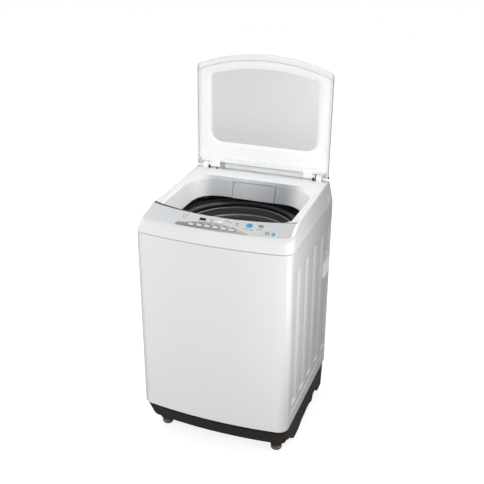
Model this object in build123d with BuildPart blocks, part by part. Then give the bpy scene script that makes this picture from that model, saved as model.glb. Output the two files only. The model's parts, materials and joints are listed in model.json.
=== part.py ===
from build123d import *
import os
from math import atan, cos, degrees, hypot, radians, sin, sqrt

os.makedirs("parts", exist_ok=True)

# Driving dimensions, in millimetres. The origin is on the floor under the drum's axis.
# +X is the right-hand side seen from the front, the front faces -Y, +Z is up.
width = 540.0  # cabinet, side to side
depth = 521.2  # cabinet, front bow to rear wall
front_bow = 21.2  # how far the front stands out at its middle
corner_radius = 37.0  # upright front corners
plinth_top = 131.5  # bottom edge of the white cabinet
seam = 800.0  # top edge of the cabinet, where the top cover sits
lid_half_width = 250.0
lid_front = -166.0  # middle of the lid's curved front edge, lid shut
lid_sagitta = 45.0  # depth of that curve over the lid's width
hinge_y = 250.0
hinge_z = 888.0
lid_lean = 1.5  # degrees past upright when open
deck_front = 860.0  # deck height at the lid's front edge
deck_tilt = 2.0  # degrees, the deck climbs towards the rear
panel_rear = 862.0  # height of the control panel's rear edge
panel_slope = 0.348  # fall of the panel for each millimetre forwards
drum_radius = 199.0  # steel basket, outside
tub_radius = 230.0  # outer tub, outside
sheet = 1.0  # sheet steel
plastic = 3.0  # moulded walls
gap = 0.3  # slack between pieces

# Derived dimensions
half_width = width / 2
front_y = -depth / 2
rear_y = depth / 2
arc_radius = (lid_half_width**2 + lid_sagitta**2) / (2 * lid_sagitta)
arc_centre = lid_front + arc_radius
panel_angle = degrees(atan(panel_slope))
up = (0, 0, 1)
on_base = (Align.CENTER, Align.CENTER, Align.MIN)
hung = (Align.CENTER, Align.CENTER, Align.MAX)
deck_plane = Plane(
    origin=(0, lid_front, deck_front),
    x_dir=(1, 0, 0),
    z_dir=(0, -sin(radians(deck_tilt)), cos(radians(deck_tilt))),
)


def plan_outline(height, half, front, rear, front_radius, rear_radius, bow=front_bow):
    """Face seen from above: straight sides and rear, a front edge bowed towards -Y."""
    with BuildSketch(Plane.XY.offset(height)) as outline:
        with BuildLine():
            Polyline((-half, front + bow), (-half, rear), (half, rear), (half, front + bow))
            ThreePointArc((half, front + bow), (0, front), (-half, front + bow))
        make_face()
        fillet(outline.vertices().group_by(Axis.Y)[0], front_radius)
        fillet(outline.vertices().group_by(Axis.Y)[-1], rear_radius)
    return outline.sketch.face()


def upright(face, amount):
    """The face pushed straight up."""
    with BuildPart() as prism:
        extrude(face, amount=amount, dir=up)
    return prism.part


def turned(*profile):
    """Solid of revolution about the drum's axis from (radius, height) points."""
    with BuildPart() as body:
        with BuildSketch(Plane.XZ):
            with BuildLine():
                Polyline(*profile, close=True)
            make_face()
        revolve(axis=Axis.Z)
    return body.part


# Cabinet: a steel wrap with pressed upright ribs and a cut-out for each grip cup
rib_count = 5
rib_first = -151.0
rib_pitch = 94.0
rib_width = 50.0
rib_depth = 3.0
rib_low = 200.0
rib_high = 715.0
grip_y = 215.0
grip_z = 558.0
grip_length = 74.0
grip_height = 62.0
grip_depth = 28.0
grip_rim = 5.0
window_half = 232.0
window_low = 165.0
window_high = 770.0
cabinet_height = seam - plinth_top
pad = rib_depth + sheet
rib_height = rib_high - rib_low
rib_places = [
    (side * half_width, rib_first + index * rib_pitch, (rib_low + rib_high) / 2)
    for side in (-1, 1)
    for index in range(rib_count)
]
grip_places = [(side * half_width, grip_y, grip_z) for side in (-1, 1)]


def cabinet_outline(inset):
    return plan_outline(
        plinth_top,
        half_width - inset,
        front_y + inset,
        rear_y - inset,
        corner_radius - inset,
        8 - inset,
    )


with BuildPart() as cabinet:
    add(upright(cabinet_outline(0), cabinet_height))
    add(upright(cabinet_outline(sheet), cabinet_height), mode=Mode.SUBTRACT)
    with Locations(*rib_places):
        Box(2 * pad, rib_width + 2 * sheet, rib_height + 2 * sheet)
        Box(2 * rib_depth, rib_width, rib_height, mode=Mode.SUBTRACT)
    with Locations(*grip_places):
        Box(2 * pad, grip_length + 2 * grip_rim, grip_height + 2 * grip_rim)
    add(upright(cabinet_outline(0), cabinet_height), mode=Mode.INTERSECT)
    with Locations(*grip_places):
        Box(4 * pad, grip_length, grip_height, mode=Mode.SUBTRACT)
    with Locations((0, rear_y, (window_low + window_high) / 2)):
        Box(2 * window_half, 8 * sheet, window_high - window_low, mode=Mode.SUBTRACT)


# Grip cups: open boxes let into the sides
def grip_cup(side):
    outside = side * half_width
    with BuildPart() as cup:
        with Locations((outside - side * grip_depth / 2, grip_y, grip_z)):
            Box(grip_depth, grip_length - 2 * gap, grip_height - 2 * gap)
        with Locations((outside - side * (grip_depth / 2 - 2), grip_y, grip_z - 4)):
            Box(grip_depth, grip_length - 8, grip_height - 16, mode=Mode.SUBTRACT)
        rim = cup.edges().filter_by(Axis.X).sort_by(Axis.Z)
        fillet(rim[:2] + rim[-2:], 4)
    return cup


side_handle_left = grip_cup(-1)
side_handle_right = grip_cup(1)

# Rear panel behind the cabinet's window, with vents and the two outlets
panel_lap = 10.0
drain_x = -190.0
drain_z = 205.0
drain_bore = 18.0
gland_x = 190.0
gland_z = 245.0
gland_bore = 9.0
vent_rows = 6
rear_panel_y = rear_y - sheet - gap
with BuildPart() as rear_panel:
    with Locations((0, rear_panel_y - sheet / 2, (window_low + window_high) / 2)):
        Box(2 * (window_half + panel_lap), sheet, window_high - window_low + 2 * panel_lap)
    with BuildSketch(Plane.XZ.offset(-rear_y)):
        with Locations((drain_x, drain_z)):
            Circle(drain_bore)
        with Locations((gland_x, gland_z)):
            Circle(gland_bore)
        with Locations((0, 640)):
            with GridLocations(110, 16, 3, vent_rows):
                SlotOverall(90, 6)
    extrude(amount=10, both=True, mode=Mode.SUBTRACT)

screw_radius = 4.5
screw_x = window_half + panel_lap / 2
with BuildPart() as rear_panel_screws:
    with Locations(*[(x, rear_y, z) for x in (-screw_x, screw_x) for z in (200, 360, 560, 740)]):
        Cylinder(screw_radius, 2.4, rotation=(-90, 0, 0), align=on_base)

# Outlets in the rear panel: a collar for the drain and a gland for the mains lead
with BuildPart() as drain_collar:
    with Locations((drain_x, rear_panel_y, drain_z)):
        Cylinder(drain_bore + 5, 7, rotation=(-90, 0, 0), align=on_base)
        Cylinder(drain_bore - gap, 10, rotation=(90, 0, 0), align=on_base)
        Cylinder(drain_bore - 3, 60, rotation=(90, 0, 0), mode=Mode.SUBTRACT)
with BuildPart() as cord_gland:
    with Locations((gland_x, rear_panel_y, gland_z)):
        Cylinder(gland_bore + 4, 6, rotation=(-90, 0, 0), align=on_base)
        Cone(gland_bore + 2, gland_bore - 1, 16, rotation=(-90, 0, 0), align=on_base)
        Cylinder(gland_bore - gap, 8, rotation=(90, 0, 0), align=on_base)
        Cylinder(4, 80, rotation=(90, 0, 0), mode=Mode.SUBTRACT)

# Plinth: side skirts, an undercut front and four pods for the feet
plinth_low = 20.0
toe_slope = 0.511  # set-back of the front for each millimetre down
plinth_inset = 3.0
plinth_wall = 4.0
ledge = 30.0
strip_low = 50.0  # lower edge of the front strip
strip_half = 251.0  # half width of the front strip, between the corner notches
notch_top = 82.0
foot_x = 213.0
foot_front = -163.0
foot_rear = 200.0
pod_radius = 25.0
pod_low = 30.0
pod_top = 64.0
stud_radius = 5.0
running = 0.05
foot_places = [(x, y) for x in (-foot_x, foot_x) for y in (foot_front, foot_rear)]
skirt_edge = [
    (-320, strip_low),
    (-200, strip_low),
    (-181, 70),
    (-117, 22),
    (-60, plinth_low),
    (-20, 33),
    (70, 40),
    (118, 27),
    (130, 50),
    (182, 50),
    (196, plinth_low),
    (320, plinth_low),
]


def plinth_outline(height, wall):
    fall = plinth_top - height
    return plan_outline(
        height,
        half_width - plinth_inset - wall - 0.03 * fall,
        front_y + plinth_inset + wall + toe_slope * fall,
        rear_y - plinth_inset - wall,
        max(corner_radius - plinth_inset - wall, 8),
        max(12 - wall, 8),
    )


with BuildPart() as plinth_block:
    loft([plinth_outline(plinth_top - gap, 0), plinth_outline(plinth_low, 0)], ruled=True)
with BuildPart() as plinth_hollow:
    loft([plinth_outline(plinth_top - 6, plinth_wall), plinth_outline(plinth_low, plinth_wall)], ruled=True)
with BuildPart() as base_frame:
    add(plinth_block.part)
    add(plinth_hollow.part, mode=Mode.SUBTRACT)
    extrude(plinth_outline(plinth_top, ledge), amount=20, both=True, mode=Mode.SUBTRACT)
    with BuildSketch(Plane.YZ):
        with BuildLine():
            Polyline((-320, 0), *skirt_edge, (320, 0), close=True)
        make_face()
    extrude(amount=width, both=True, mode=Mode.SUBTRACT)
    with Locations(*[(side * (strip_half + 20), -236, notch_top) for side in (-1, 1)]):
        Box(40, 100, notch_top, align=hung, mode=Mode.SUBTRACT)
    with Locations(*[(side * 255, 228, plinth_low) for side in (-1, 1)]):
        Box(26, 62, 46, align=on_base)
    for x, y in foot_places:
        outer = y + (-45 if y < 0 else 58)
        with Locations((x, (y + outer) / 2, pod_top - 3)):
            Box(84, abs(outer - y) + 2 * pod_radius, 6)
    add(plinth_block.part, mode=Mode.INTERSECT)
    with Locations(*[(x, y, pod_low) for x, y in foot_places]):
        Cylinder(pod_radius, pod_top - pod_low, align=on_base)
        Cylinder(stud_radius + running, 200, mode=Mode.SUBTRACT)


# Feet: a domed pad under a stud
pad_radius = 20.0
pad_height = 15.0
pad_dome = 9.0
def foot_at(*places):
    with BuildPart() as foot:
        with Locations(*places):
            Cylinder(pad_radius, pad_height, align=on_base)
            Cylinder(11, pod_low - 3, align=on_base)
            Cylinder(stud_radius, pod_top + 8, align=on_base)
        pads = foot.edges().filter_by(GeomType.CIRCLE).filter_by(lambda edge: edge.radius > 15)
        chamfer(pads.group_by(Axis.Z)[-1], 3)
        rims = foot.edges().filter_by(GeomType.CIRCLE).group_by(Axis.Z)[0]
        fillet(rims, pad_dome)
    return foot


front_foot_left = foot_at((-foot_x, foot_front, 0))
front_foot_right = foot_at((foot_x, foot_front, 0))
rear_feet = foot_at((-foot_x, foot_rear, 0), (foot_x, foot_rear, 0))

# Top cover: tapered sides, slanted fascia, conical panel seat, tilted deck and loading funnel
cover_top = seam + 100.0
side_taper = 0.208  # inward lean of the sides for each millimetre up
fascia_taper = 0.733  # set-back of the front for each millimetre up
panel_thickness = 3.0
panel_rear_left = -252.0  # ends of the control panel along its rear edge
panel_rear_right = 247.0
panel_front_left = -257.0  # and at its front corners
panel_front_right = 249.0
panel_front = -229.0  # middle of its front edge
panel_front_end = -195.5  # the same edge at the corners
seat_wall = 3.5  # wall left under the panel
funnel_top = seam + 80.0
funnel_low = seam + 3.0
drawer_half = 80.0
drawer_top = 857.0
ear_inner = 207.0
ear_outer = 228.0
ear_radius = 10.0
pin_radius = 4.0


def cover_outline(height, inset):
    rise = height - seam
    return plan_outline(
        height,
        half_width - inset - side_taper * rise,
        front_y + inset + fascia_taper * rise,
        rear_y - inset,
        corner_radius - inset + 0.1 * rise,
        8 - inset,
    )


def panel_cone(drop):
    """Everything under the panel's conical surface, lowered by drop along its normal."""
    low = seam - 40
    high = seam + 140
    low_radius = arc_radius + (panel_rear - low) / panel_slope
    high_radius = arc_radius + (panel_rear - high) / panel_slope
    with BuildPart() as cone:
        with Locations((0, arc_centre, low - drop / cos(radians(panel_angle)))):
            Cone(low_radius, high_radius, high - low, align=on_base)
    return cone.part


def above_deck(inset):
    """Room over the deck, behind the panel's rear edge."""
    with BuildPart() as room:
        with Locations((0, arc_centre, deck_front - 60)):
            Cylinder(arc_radius + inset, 240, align=on_base)
        split(bisect_by=deck_plane.offset(-inset), keep=Keep.TOP)
    return room.part


def cover_block(inset, drop):
    with BuildPart() as block:
        loft([cover_outline(seam, inset), cover_outline(cover_top, inset)], ruled=True)
        add(panel_cone(drop), mode=Mode.INTERSECT)
        add(above_deck(inset), mode=Mode.SUBTRACT)
    return block.part


def funnel_block(grow):
    mouth = plan_outline(funnel_top, 235 + grow, -161 - grow, 187 + grow, 30 + grow, 92 + grow, bow=42)
    foot = plan_outline(funnel_low, 201 + grow, -150 - grow, 155 + grow, 45 + grow, 82 + grow, bow=42)
    with BuildPart() as block:
        loft([mouth, foot], ruled=True)
        if grow:
            split(bisect_by=deck_plane.offset(-1), keep=Keep.BOTTOM)
    return block.part


def rear_wall(height):
    """Depth of the funnel's rear wall at a height."""
    return 155 + (187 - 155) * (height - funnel_low) / (funnel_top - funnel_low)


def concentric(radius, x):
    """Depth of a circle about the panel's centre at x."""
    return arc_centre - sqrt(radius**2 - x**2)


def panel_outline(grow):
    rear_radius = arc_radius + 1.5 - grow
    rear_left = (panel_rear_left - grow, concentric(rear_radius, panel_rear_left - grow))
    rear_right = (panel_rear_right + grow, concentric(rear_radius, panel_rear_right + grow))
    front_left = (panel_front_left - grow, panel_front_end - grow)
    front_right = (panel_front_right + grow, panel_front_end - grow)
    with BuildSketch(Plane.XY.offset(seam)) as outline:
        with BuildLine():
            ThreePointArc(rear_left, (0, arc_centre - rear_radius), rear_right)
            Line(rear_right, front_right)
            ThreePointArc(front_right, (0, panel_front - grow), front_left)
            Line(front_left, rear_left)
        make_face()
        corners = outline.vertices().sort_by(Axis.Y)
        fillet(corners[:2], 16 + grow)
        fillet(corners[2:], 3 + grow)
    return outline.sketch.face()


def leaf_outline(grow):
    left = (-137 - 2 * grow, -218.5)
    right = (123 + 2 * grow, -219.5)
    with BuildSketch(Plane.XY.offset(seam)) as outline:
        with BuildLine():
            ThreePointArc(left, (-10, -194 + grow), right)
            ThreePointArc(right, (-7, -226.5 - grow), left)
        make_face()
        fillet(outline.vertices(), 1.5)
    return outline.sketch.face()


def panel_layer(face, top, bottom):
    """Slice of the panel's cone under a plan outline, between two depths."""
    with BuildPart() as layer:
        extrude(face, amount=120, dir=up)
        add(panel_cone(top), mode=Mode.INTERSECT)
        add(panel_cone(bottom), mode=Mode.SUBTRACT)
    return layer.part


def panel_plane(x, y):
    """Tangent plane of the panel at a point seen from above."""
    reach = hypot(x, y - arc_centre)
    out_x = x / reach
    out_y = (y - arc_centre) / reach
    tilt = radians(panel_angle)
    return Plane(
        origin=(x, y, panel_rear + (arc_radius - reach) * panel_slope),
        x_dir=(-out_y, out_x, 0),
        z_dir=(out_x * sin(tilt), out_y * sin(tilt), cos(tilt)),
    )


with BuildPart() as top_cover:
    add(cover_block(0, 0))
    add(cover_block(plastic, panel_thickness + seat_wall), mode=Mode.SUBTRACT)
    add(funnel_block(plastic))
    add(funnel_block(0), mode=Mode.SUBTRACT)
    add(panel_layer(panel_outline(gap), -20, panel_thickness + gap), mode=Mode.SUBTRACT)
    with Locations((-10, -197, seam + 40)):
        Box(240, 42, 60, mode=Mode.SUBTRACT)
    with Locations((156, -190, seam + 40)):
        Box(100, 28, 60, mode=Mode.SUBTRACT)
    with Locations((0, 170, (seam - 5 + drawer_top) / 2)):
        Box(2 * drawer_half, 44, drawer_top - seam + 5, mode=Mode.SUBTRACT)
    for side in (-1, 1):
        middle = side * (ear_inner + ear_outer) / 2
        with Locations((middle, hinge_y, hinge_z)):
            Box(ear_outer - ear_inner, 2 * ear_radius, hinge_z - 872, align=hung)
            Cylinder(ear_radius, ear_outer - ear_inner, rotation=(0, 90, 0))
            Cylinder(pin_radius + 0.02, 40, rotation=(0, 90, 0), mode=Mode.SUBTRACT)
    with BuildSketch(Plane.XZ.offset(-rear_y)):
        with Locations((150, 836), (195, 836)):
            Circle(15)
    extrude(amount=8, both=True, mode=Mode.SUBTRACT)

# Control panel, leaf inlay, display and buttons
button_places = [(-76 + 28 * index, -210) for index in range(6)]
start_place = (173.8, -195.8)
power_place = (194.1, -193.8)
round_radius = 6.5
display_place = (-48, -184)
display_size = (23, 12)
button_size = (20.5, 13.5)
slack = 0.4

with BuildPart() as control_panel:
    add(panel_layer(panel_outline(0), 0, panel_thickness))
    add(panel_layer(leaf_outline(gap), -20, 20), mode=Mode.SUBTRACT)
    with BuildSketch(panel_plane(*display_place)):
        Rectangle(*display_size)
    extrude(amount=20, both=True, mode=Mode.SUBTRACT)
    for place in (start_place, power_place):
        with BuildSketch(panel_plane(*place)):
            Circle(round_radius + slack)
        extrude(amount=20, both=True, mode=Mode.SUBTRACT)

with BuildPart() as button_strip:
    add(panel_layer(leaf_outline(0), -0.6, panel_thickness))
    for place in button_places:
        with BuildSketch(panel_plane(*place)):
            SlotOverall(button_size[0] + 2 * slack, button_size[1] + 2 * slack)
        extrude(amount=20, both=True, mode=Mode.SUBTRACT)

with BuildPart() as display_window:
    with BuildSketch(panel_plane(*display_place).offset(-2.6)):
        Rectangle(display_size[0] - 2 * gap, display_size[1] - 2 * gap)
    extrude(amount=2.4)


def function_button(place):
    with BuildPart() as button:
        with BuildSketch(panel_plane(*place).offset(-6)):
            SlotOverall(*button_size)
        extrude(amount=9)
        fillet(button.faces().sort_by(Axis.Z)[-1].edges(), 1.4)
    return button


def round_button(place):
    with BuildPart() as button:
        with BuildSketch(panel_plane(*place).offset(-6)):
            Circle(round_radius)
        extrude(amount=7.4)
        fillet(button.faces().sort_by(Axis.Z)[-1].edges(), 0.8)
    return button


function_buttons = [function_button(place) for place in button_places]
start_button = round_button(start_place)
power_button = round_button(power_place)

board_plane = panel_plane(30, -200).offset(-20)
with BuildPart() as control_board:
    with BuildSketch(board_plane):
        Rectangle(340, 36)
    extrude(amount=1.6)
    with BuildSketch(board_plane):
        with Locations((-130, 14), (0, 14), (110, 12)):
            Circle(3)
    extrude(amount=30)
    add(panel_cone(panel_thickness + gap), mode=Mode.INTERSECT)
    with BuildSketch(board_plane.offset(-12)):
        with Locations((-60, 0), (20, 0), (90, 0)):
            Rectangle(34, 22)
    extrude(amount=12)

# Detergent drawer in its housing under the rear deck
tray_half = 70.0
tray_low = 804.0
tray_high = 848.0
tray_rear = 246.0
housing_half = 76.0
housing_front = 187.0
housing_rear = 254.0
housing_low = 800.5
housing_high = 869.0
tray_wall = 2.0
front_low = funnel_low - 1
front_high = drawer_top - 1
with BuildPart() as detergent_drawer:
    with BuildSketch(Plane.YZ):
        with BuildLine():
            Polyline(
                (rear_wall(front_low), front_low),
                (rear_wall(front_high), front_high),
                (rear_wall(front_high) + 4, front_high),
                (rear_wall(front_low) + 4, front_low),
                close=True,
            )
        make_face()
    extrude(amount=drawer_half - 1, both=True)
    tray_front = rear_wall(tray_low) + 1
    with Locations((0, (tray_front + tray_rear) / 2, (tray_low + tray_high) / 2)):
        Box(2 * tray_half, tray_rear - tray_front, tray_high - tray_low)
    with BuildSketch(Plane.YZ):
        with BuildLine():
            Polyline(
                (rear_wall(tray_low) + 4, tray_low + tray_wall),
                (rear_wall(tray_high) + 4, tray_high + 1),
                (tray_rear - tray_wall, tray_high + 1),
                (tray_rear - tray_wall, tray_low + tray_wall),
                close=True,
            )
        make_face()
    extrude(amount=tray_half - tray_wall, both=True, mode=Mode.SUBTRACT)
    with BuildSketch(Plane.YZ):
        with BuildLine():
            Polyline(
                (150, tray_low - 1),
                (150, tray_high + 1),
                (rear_wall(tray_high + 1), tray_high + 1),
                (rear_wall(tray_low - 1), tray_low - 1),
                close=True,
            )
        make_face()
    extrude(amount=tray_half + 1, both=True, mode=Mode.SUBTRACT)

with BuildPart() as drawer_housing:
    middle = (housing_front + housing_rear) / 2
    with Locations((0, middle, housing_low)):
        Box(2 * housing_half, housing_rear - housing_front, housing_high - housing_low, align=on_base)
    with Locations((0, middle - tray_wall, housing_low + tray_wall)):
        Box(
            2 * (housing_half - tray_wall),
            housing_rear - housing_front,
            housing_high - housing_low - 2 * tray_wall,
            align=on_base,
            mode=Mode.SUBTRACT,
        )

# Water inlet: a twin valve with two threaded connectors through the cover's rear wall
inlet_z = 836.0
inlet_places = (150.0, 195.0)
thread_radius = 13.2
thread_end = 287.0
with BuildPart() as inlet_valve:
    with Locations((sum(inlet_places) / 2, 238, inlet_z)):
        Box(92, 30, 36)
    for x in inlet_places:
        with Locations((x, 252, inlet_z)):
            Cylinder(thread_radius, thread_end - 252, rotation=(-90, 0, 0), align=on_base)
        with Locations((x, rear_y + 1.5, inlet_z)):
            Cylinder(16.5, 4, rotation=(-90, 0, 0), align=on_base)
        with Locations((x, thread_end, inlet_z)):
            Cylinder(8, 60, rotation=(90, 0, 0), mode=Mode.SUBTRACT)
with BuildPart() as inlet_pipe:
    with Locations((housing_half + gap, 232, inlet_z)):
        Cylinder(8, 126 - housing_half - 2 * gap, rotation=(0, 90, 0), align=on_base)
        Cylinder(6, 200, rotation=(0, 90, 0), mode=Mode.SUBTRACT)

# Electrical pieces under the deck and in the rear corner
under_deck = 869.9
with BuildPart() as lid_switch:
    with Locations((-190, 225, under_deck)):
        Box(44, 20, 18, align=hung)
        Box(24, 6, 28, align=hung)
with BuildPart() as water_level_sensor:
    with Locations((-125, 225, under_deck)):
        Cylinder(12, 34, align=hung)
        Cylinder(4, 50, align=hung)
    with Locations((-125, 225, under_deck - 12)):
        Cylinder(24, 22, align=hung)
with BuildPart() as capacitor:
    with Locations((gap + sheet - half_width, 178, 640)):
        Box(34, 36, 90, align=(Align.MIN, Align.CENTER, Align.MIN))
    with Locations((20 - half_width, 178, 730)):
        Box(6, 20, 8, align=on_base)

# Suspended tub: a moulded bowl with a black cover ring
tub_low = 262.0
tub_wall = 4.0
tub_rim = 768.0
cover_ring_top = 782.0
sleeve_radius = 16.0
rod_x = 208.0
rod_y = 200.0
rod_radius = 4.0
lug_low = 318.0
lug_high = 330.0
rod_places = [(x, y) for x in (-rod_x, rod_x) for y in (-rod_y, rod_y)]
bore = sleeve_radius + running
with BuildPart() as outer_tub:
    add(
        turned(
            (bore, tub_low),
            (tub_radius - 20, tub_low),
            (tub_radius, tub_low + 20),
            (tub_radius, tub_rim - 8),
            (tub_radius + 8, tub_rim - 8),
            (tub_radius + 8, tub_rim),
            (tub_radius - tub_wall, tub_rim),
            (tub_radius - tub_wall, tub_low + 22),
            (tub_radius - 22, tub_low + 6),
            (bore, tub_low + 6),
        )
    )
    for x, y in rod_places:
        heading = Vector(x, y, 0).normalized()
        lug_plane = Plane(origin=heading * (tub_radius - 3), x_dir=heading, z_dir=up)
        with BuildSketch(lug_plane.offset(lug_low)):
            Rectangle(80, 36, align=(Align.MIN, Align.CENTER))
        extrude(amount=lug_high - lug_low)
    with Locations(*[(x, y, lug_low) for x, y in rod_places]):
        Cylinder(rod_radius + 2, 100, mode=Mode.SUBTRACT)
with BuildPart() as tub_cover:
    add(
        turned(
            (tub_radius - 7, tub_rim + gap),
            (tub_radius + 11, tub_rim + gap),
            (tub_radius + 11, cover_ring_top - 3),
            (tub_radius + 8, cover_ring_top),
            (tub_radius - 5, cover_ring_top),
            (tub_radius - 9, cover_ring_top - 4),
            (tub_radius - 9, tub_rim + gap),
        )
    )

# Suspension: rods from corner brackets, springs under the tub's lugs in sliding cups
bracket_low = 768.0
bracket_high = 776.0
rod_low = 205.0
cup_low = 292.0
with BuildPart() as corner_brackets:
    with Locations(*[(x * 1.1, y * 1.05, bracket_low) for x, y in rod_places]):
        Box(78, 62, bracket_high - bracket_low, align=on_base)
    add(upright(cabinet_outline(sheet + gap), cabinet_height), mode=Mode.INTERSECT)
    with Locations(*[(x, y, bracket_low) for x, y in rod_places]):
        Cylinder(rod_radius + 1, 40, mode=Mode.SUBTRACT)
with BuildPart() as suspension_rods:
    with Locations(*[(x, y, rod_low) for x, y in rod_places]):
        Cylinder(rod_radius, bracket_high + 4 - rod_low, align=on_base)
        Cylinder(16, 5, align=on_base)
    with Locations(*[(x, y, bracket_high + gap) for x, y in rod_places]):
        Cylinder(9, 8, align=on_base)
with BuildPart() as suspension_cups:
    with Locations(*[(x, y, lug_low - gap) for x, y in rod_places]):
        Cylinder(21, lug_low - cup_low, align=hung)
    with Locations(*[(x, y, cup_low - 1) for x, y in rod_places]):
        Cylinder(18, lug_low - cup_low - 6, align=on_base, mode=Mode.SUBTRACT)
        Cylinder(rod_radius + 1, 100, mode=Mode.SUBTRACT)

spring_low = rod_low + 8
spring_high = lug_low - 12
with BuildPart() as coil:
    with BuildLine() as winding:
        Helix(pitch=(spring_high - spring_low) / 7, height=spring_high - spring_low, radius=12)
    with BuildSketch(Plane(winding.line @ 0, z_dir=winding.line % 0)):
        Circle(2)
    sweep()
with BuildPart() as suspension_springs:
    with Locations(*[(x, y, spring_low) for x, y in rod_places]):
        add(coil.part)

# Drive under the tub: support plate, gearbox, motor, belt and pulleys
motor_x = 125.0
motor_y = -100.0
gearbox_radius = 60.0
motor_radius = 58.0
plate_low = 257.0
plate_high = tub_low - gap
shaft_radius = 9.0
groove_drive = 96.0
groove_motor = 24.0
pulley_low = 150.0
pulley_high = 166.0
flange_height = 3.0
belt_slack = 0.5
motor_axis = (motor_x, motor_y)
with BuildPart() as support_plate:
    with BuildSketch(Plane.XY.offset(plate_low)):
        Circle(gearbox_radius + 22)
        with Locations(motor_axis):
            Circle(motor_radius + 14)
        make_hull()
        Circle(gearbox_radius + 1, mode=Mode.SUBTRACT)
    extrude(amount=plate_high - plate_low)
with BuildPart() as gearbox:
    add(
        turned(
            (bore, plate_high),
            (gearbox_radius, plate_high),
            (gearbox_radius, 215),
            (gearbox_radius - 18, 195),
            (gearbox_radius - 18, 180),
            (shaft_radius + running, 180),
            (shaft_radius + running, 232),
            (bore, 232),
        )
    )
with BuildPart() as motor:
    with Locations((motor_x, motor_y, plate_low - gap)):
        Cylinder(motor_radius, 62, align=hung)
        Cylinder(motor_radius - 16, 80, align=hung)
    with Locations((motor_x, motor_y, pulley_high + 2)):
        Cylinder(7 + running, 40, align=on_base, mode=Mode.SUBTRACT)


def belt_outline(grow):
    with BuildSketch(Plane.XY.offset(pulley_low + flange_height + belt_slack)) as outline:
        Circle(groove_drive + grow)
        with Locations(motor_axis):
            Circle(groove_motor + grow)
        make_hull()
    return outline.sketch.face()


belt_height = pulley_high - pulley_low - 2 * (flange_height + belt_slack)
with BuildPart() as drive_belt:
    add(upright(belt_outline(5), belt_height))
    add(upright(belt_outline(belt_slack), belt_height), mode=Mode.SUBTRACT)


def pulley_profile(groove, hub):
    rim = groove + 6
    return (
        (hub, pulley_low),
        (rim, pulley_low),
        (rim, pulley_low + flange_height),
        (groove, pulley_low + flange_height),
        (groove, pulley_high - flange_height),
        (rim, pulley_high - flange_height),
        (rim, pulley_high),
        (hub, pulley_high),
    )


with BuildPart() as drive_pulley:
    add(turned(*pulley_profile(groove_drive, shaft_radius + 0.02)))
    with PolarLocations(56, 6):
        Cylinder(18, 400, mode=Mode.SUBTRACT)
with BuildPart() as motor_pulley:
    with Locations((motor_x, motor_y)):
        add(turned(*pulley_profile(groove_motor, 0)))
    with Locations((motor_x, motor_y, pulley_high)):
        Cylinder(7, 34, align=on_base)
with BuildPart() as drain_valve:
    with Locations((-115, 105, tub_low - gap)):
        Cylinder(30, 58, align=hung)
    with Locations((-115, 105, 222)):
        Cylinder(17, 78, rotation=(-90, 0, 0), align=on_base)
    with Locations((-115, 190, 222)):
        Cylinder(14, 90, rotation=(90, 0, 0), align=on_base, mode=Mode.SUBTRACT)
    with Locations((-60, 112, 240)):
        Box(70, 44, 36)

# Spinning basket: steel wall, moulded base on a cast flange, balance ring and lint filter
base_low = 300.0
base_high = 312.0
drum_top = 757.0
ring_radius = 217.0
ring_low = 712.0
ring_high = 775.0
flange_low = 284.0
with BuildPart() as basket_wall:
    add(
        turned(
            (drum_radius - 1.5, base_high + gap),
            (drum_radius, base_high + gap),
            (drum_radius, drum_top),
            (drum_radius - 1.5, drum_top),
        )
    )
with BuildPart() as basket_base:
    add(
        turned(
            (34 + gap, base_low + gap),
            (drum_radius - 6, base_low + gap),
            (drum_radius, base_low + 6),
            (drum_radius, base_high),
            (34 + gap, base_high),
        )
    )
with BuildPart() as basket_flange:
    add(
        turned(
            (shaft_radius + running, 236),
            (sleeve_radius, 236),
            (sleeve_radius, flange_low),
            (34, flange_low),
            (34, base_high),
            (shaft_radius + running, base_high),
        )
    )
    for angle in (90, 210, 330):
        arm_plane = Plane.XY.rotated((0, 0, angle)).offset(flange_low)
        with BuildSketch(arm_plane):
            Rectangle(drum_radius - 12, 36, align=(Align.MIN, Align.CENTER))
            Circle(30, mode=Mode.SUBTRACT)
        extrude(amount=base_low - flange_low)
with BuildPart() as balance_ring:
    add(
        turned(
            (drum_radius + gap, ring_low),
            (ring_radius - 4, ring_low),
            (ring_radius, ring_low + 4),
            (ring_radius, ring_high - 4),
            (ring_radius - 3, ring_high),
            (drum_radius + 2, ring_high - 9),
            (drum_radius + gap, ring_high - 12),
        )
    )
filter_front = drum_radius - 16.0
with BuildPart() as lint_filter:
    with Locations((0, -filter_front, 470)):
        Box(70, 30, 170, align=(Align.CENTER, Align.MAX, Align.CENTER))
        Box(54, 9, 140, align=(Align.CENTER, Align.MAX, Align.CENTER), mode=Mode.SUBTRACT)
    with Locations((0, 0, 470)):
        Cylinder(drum_radius - 1.5 - gap, 300, mode=Mode.INTERSECT)

# Pulsator on the drive shaft
pulsator_radius = 162.0
pulsator_low = 322.0
vane_count = 6
with BuildPart() as pulsator:
    add(
        turned(
            (shaft_radius + 0.02, pulsator_low),
            (pulsator_radius - 4, pulsator_low),
            (pulsator_radius, pulsator_low + 4),
            (pulsator_radius - 6, pulsator_low + 12),
            (70, pulsator_low + 18),
            (34, pulsator_low + 36),
            (shaft_radius + 0.02, pulsator_low + 36),
        )
    )
    for index in range(vane_count):
        vane_plane = Plane.XY.rotated((0, 0, index * 360 / vane_count)).offset(pulsator_low + 8)
        with BuildSketch(vane_plane):
            with Locations((26, 0)):
                SlotOverall(128, 16, align=(Align.MIN, Align.CENTER))
        extrude(amount=34, taper=8)
    fillet(pulsator.faces().sort_by(Axis.Z)[-1].edges(), 1)
with BuildPart() as drive_shaft:
    with Locations((0, 0, pulley_low - 8)):
        Cylinder(shaft_radius, pulsator_low + 36 - pulley_low + 8, align=on_base)
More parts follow.
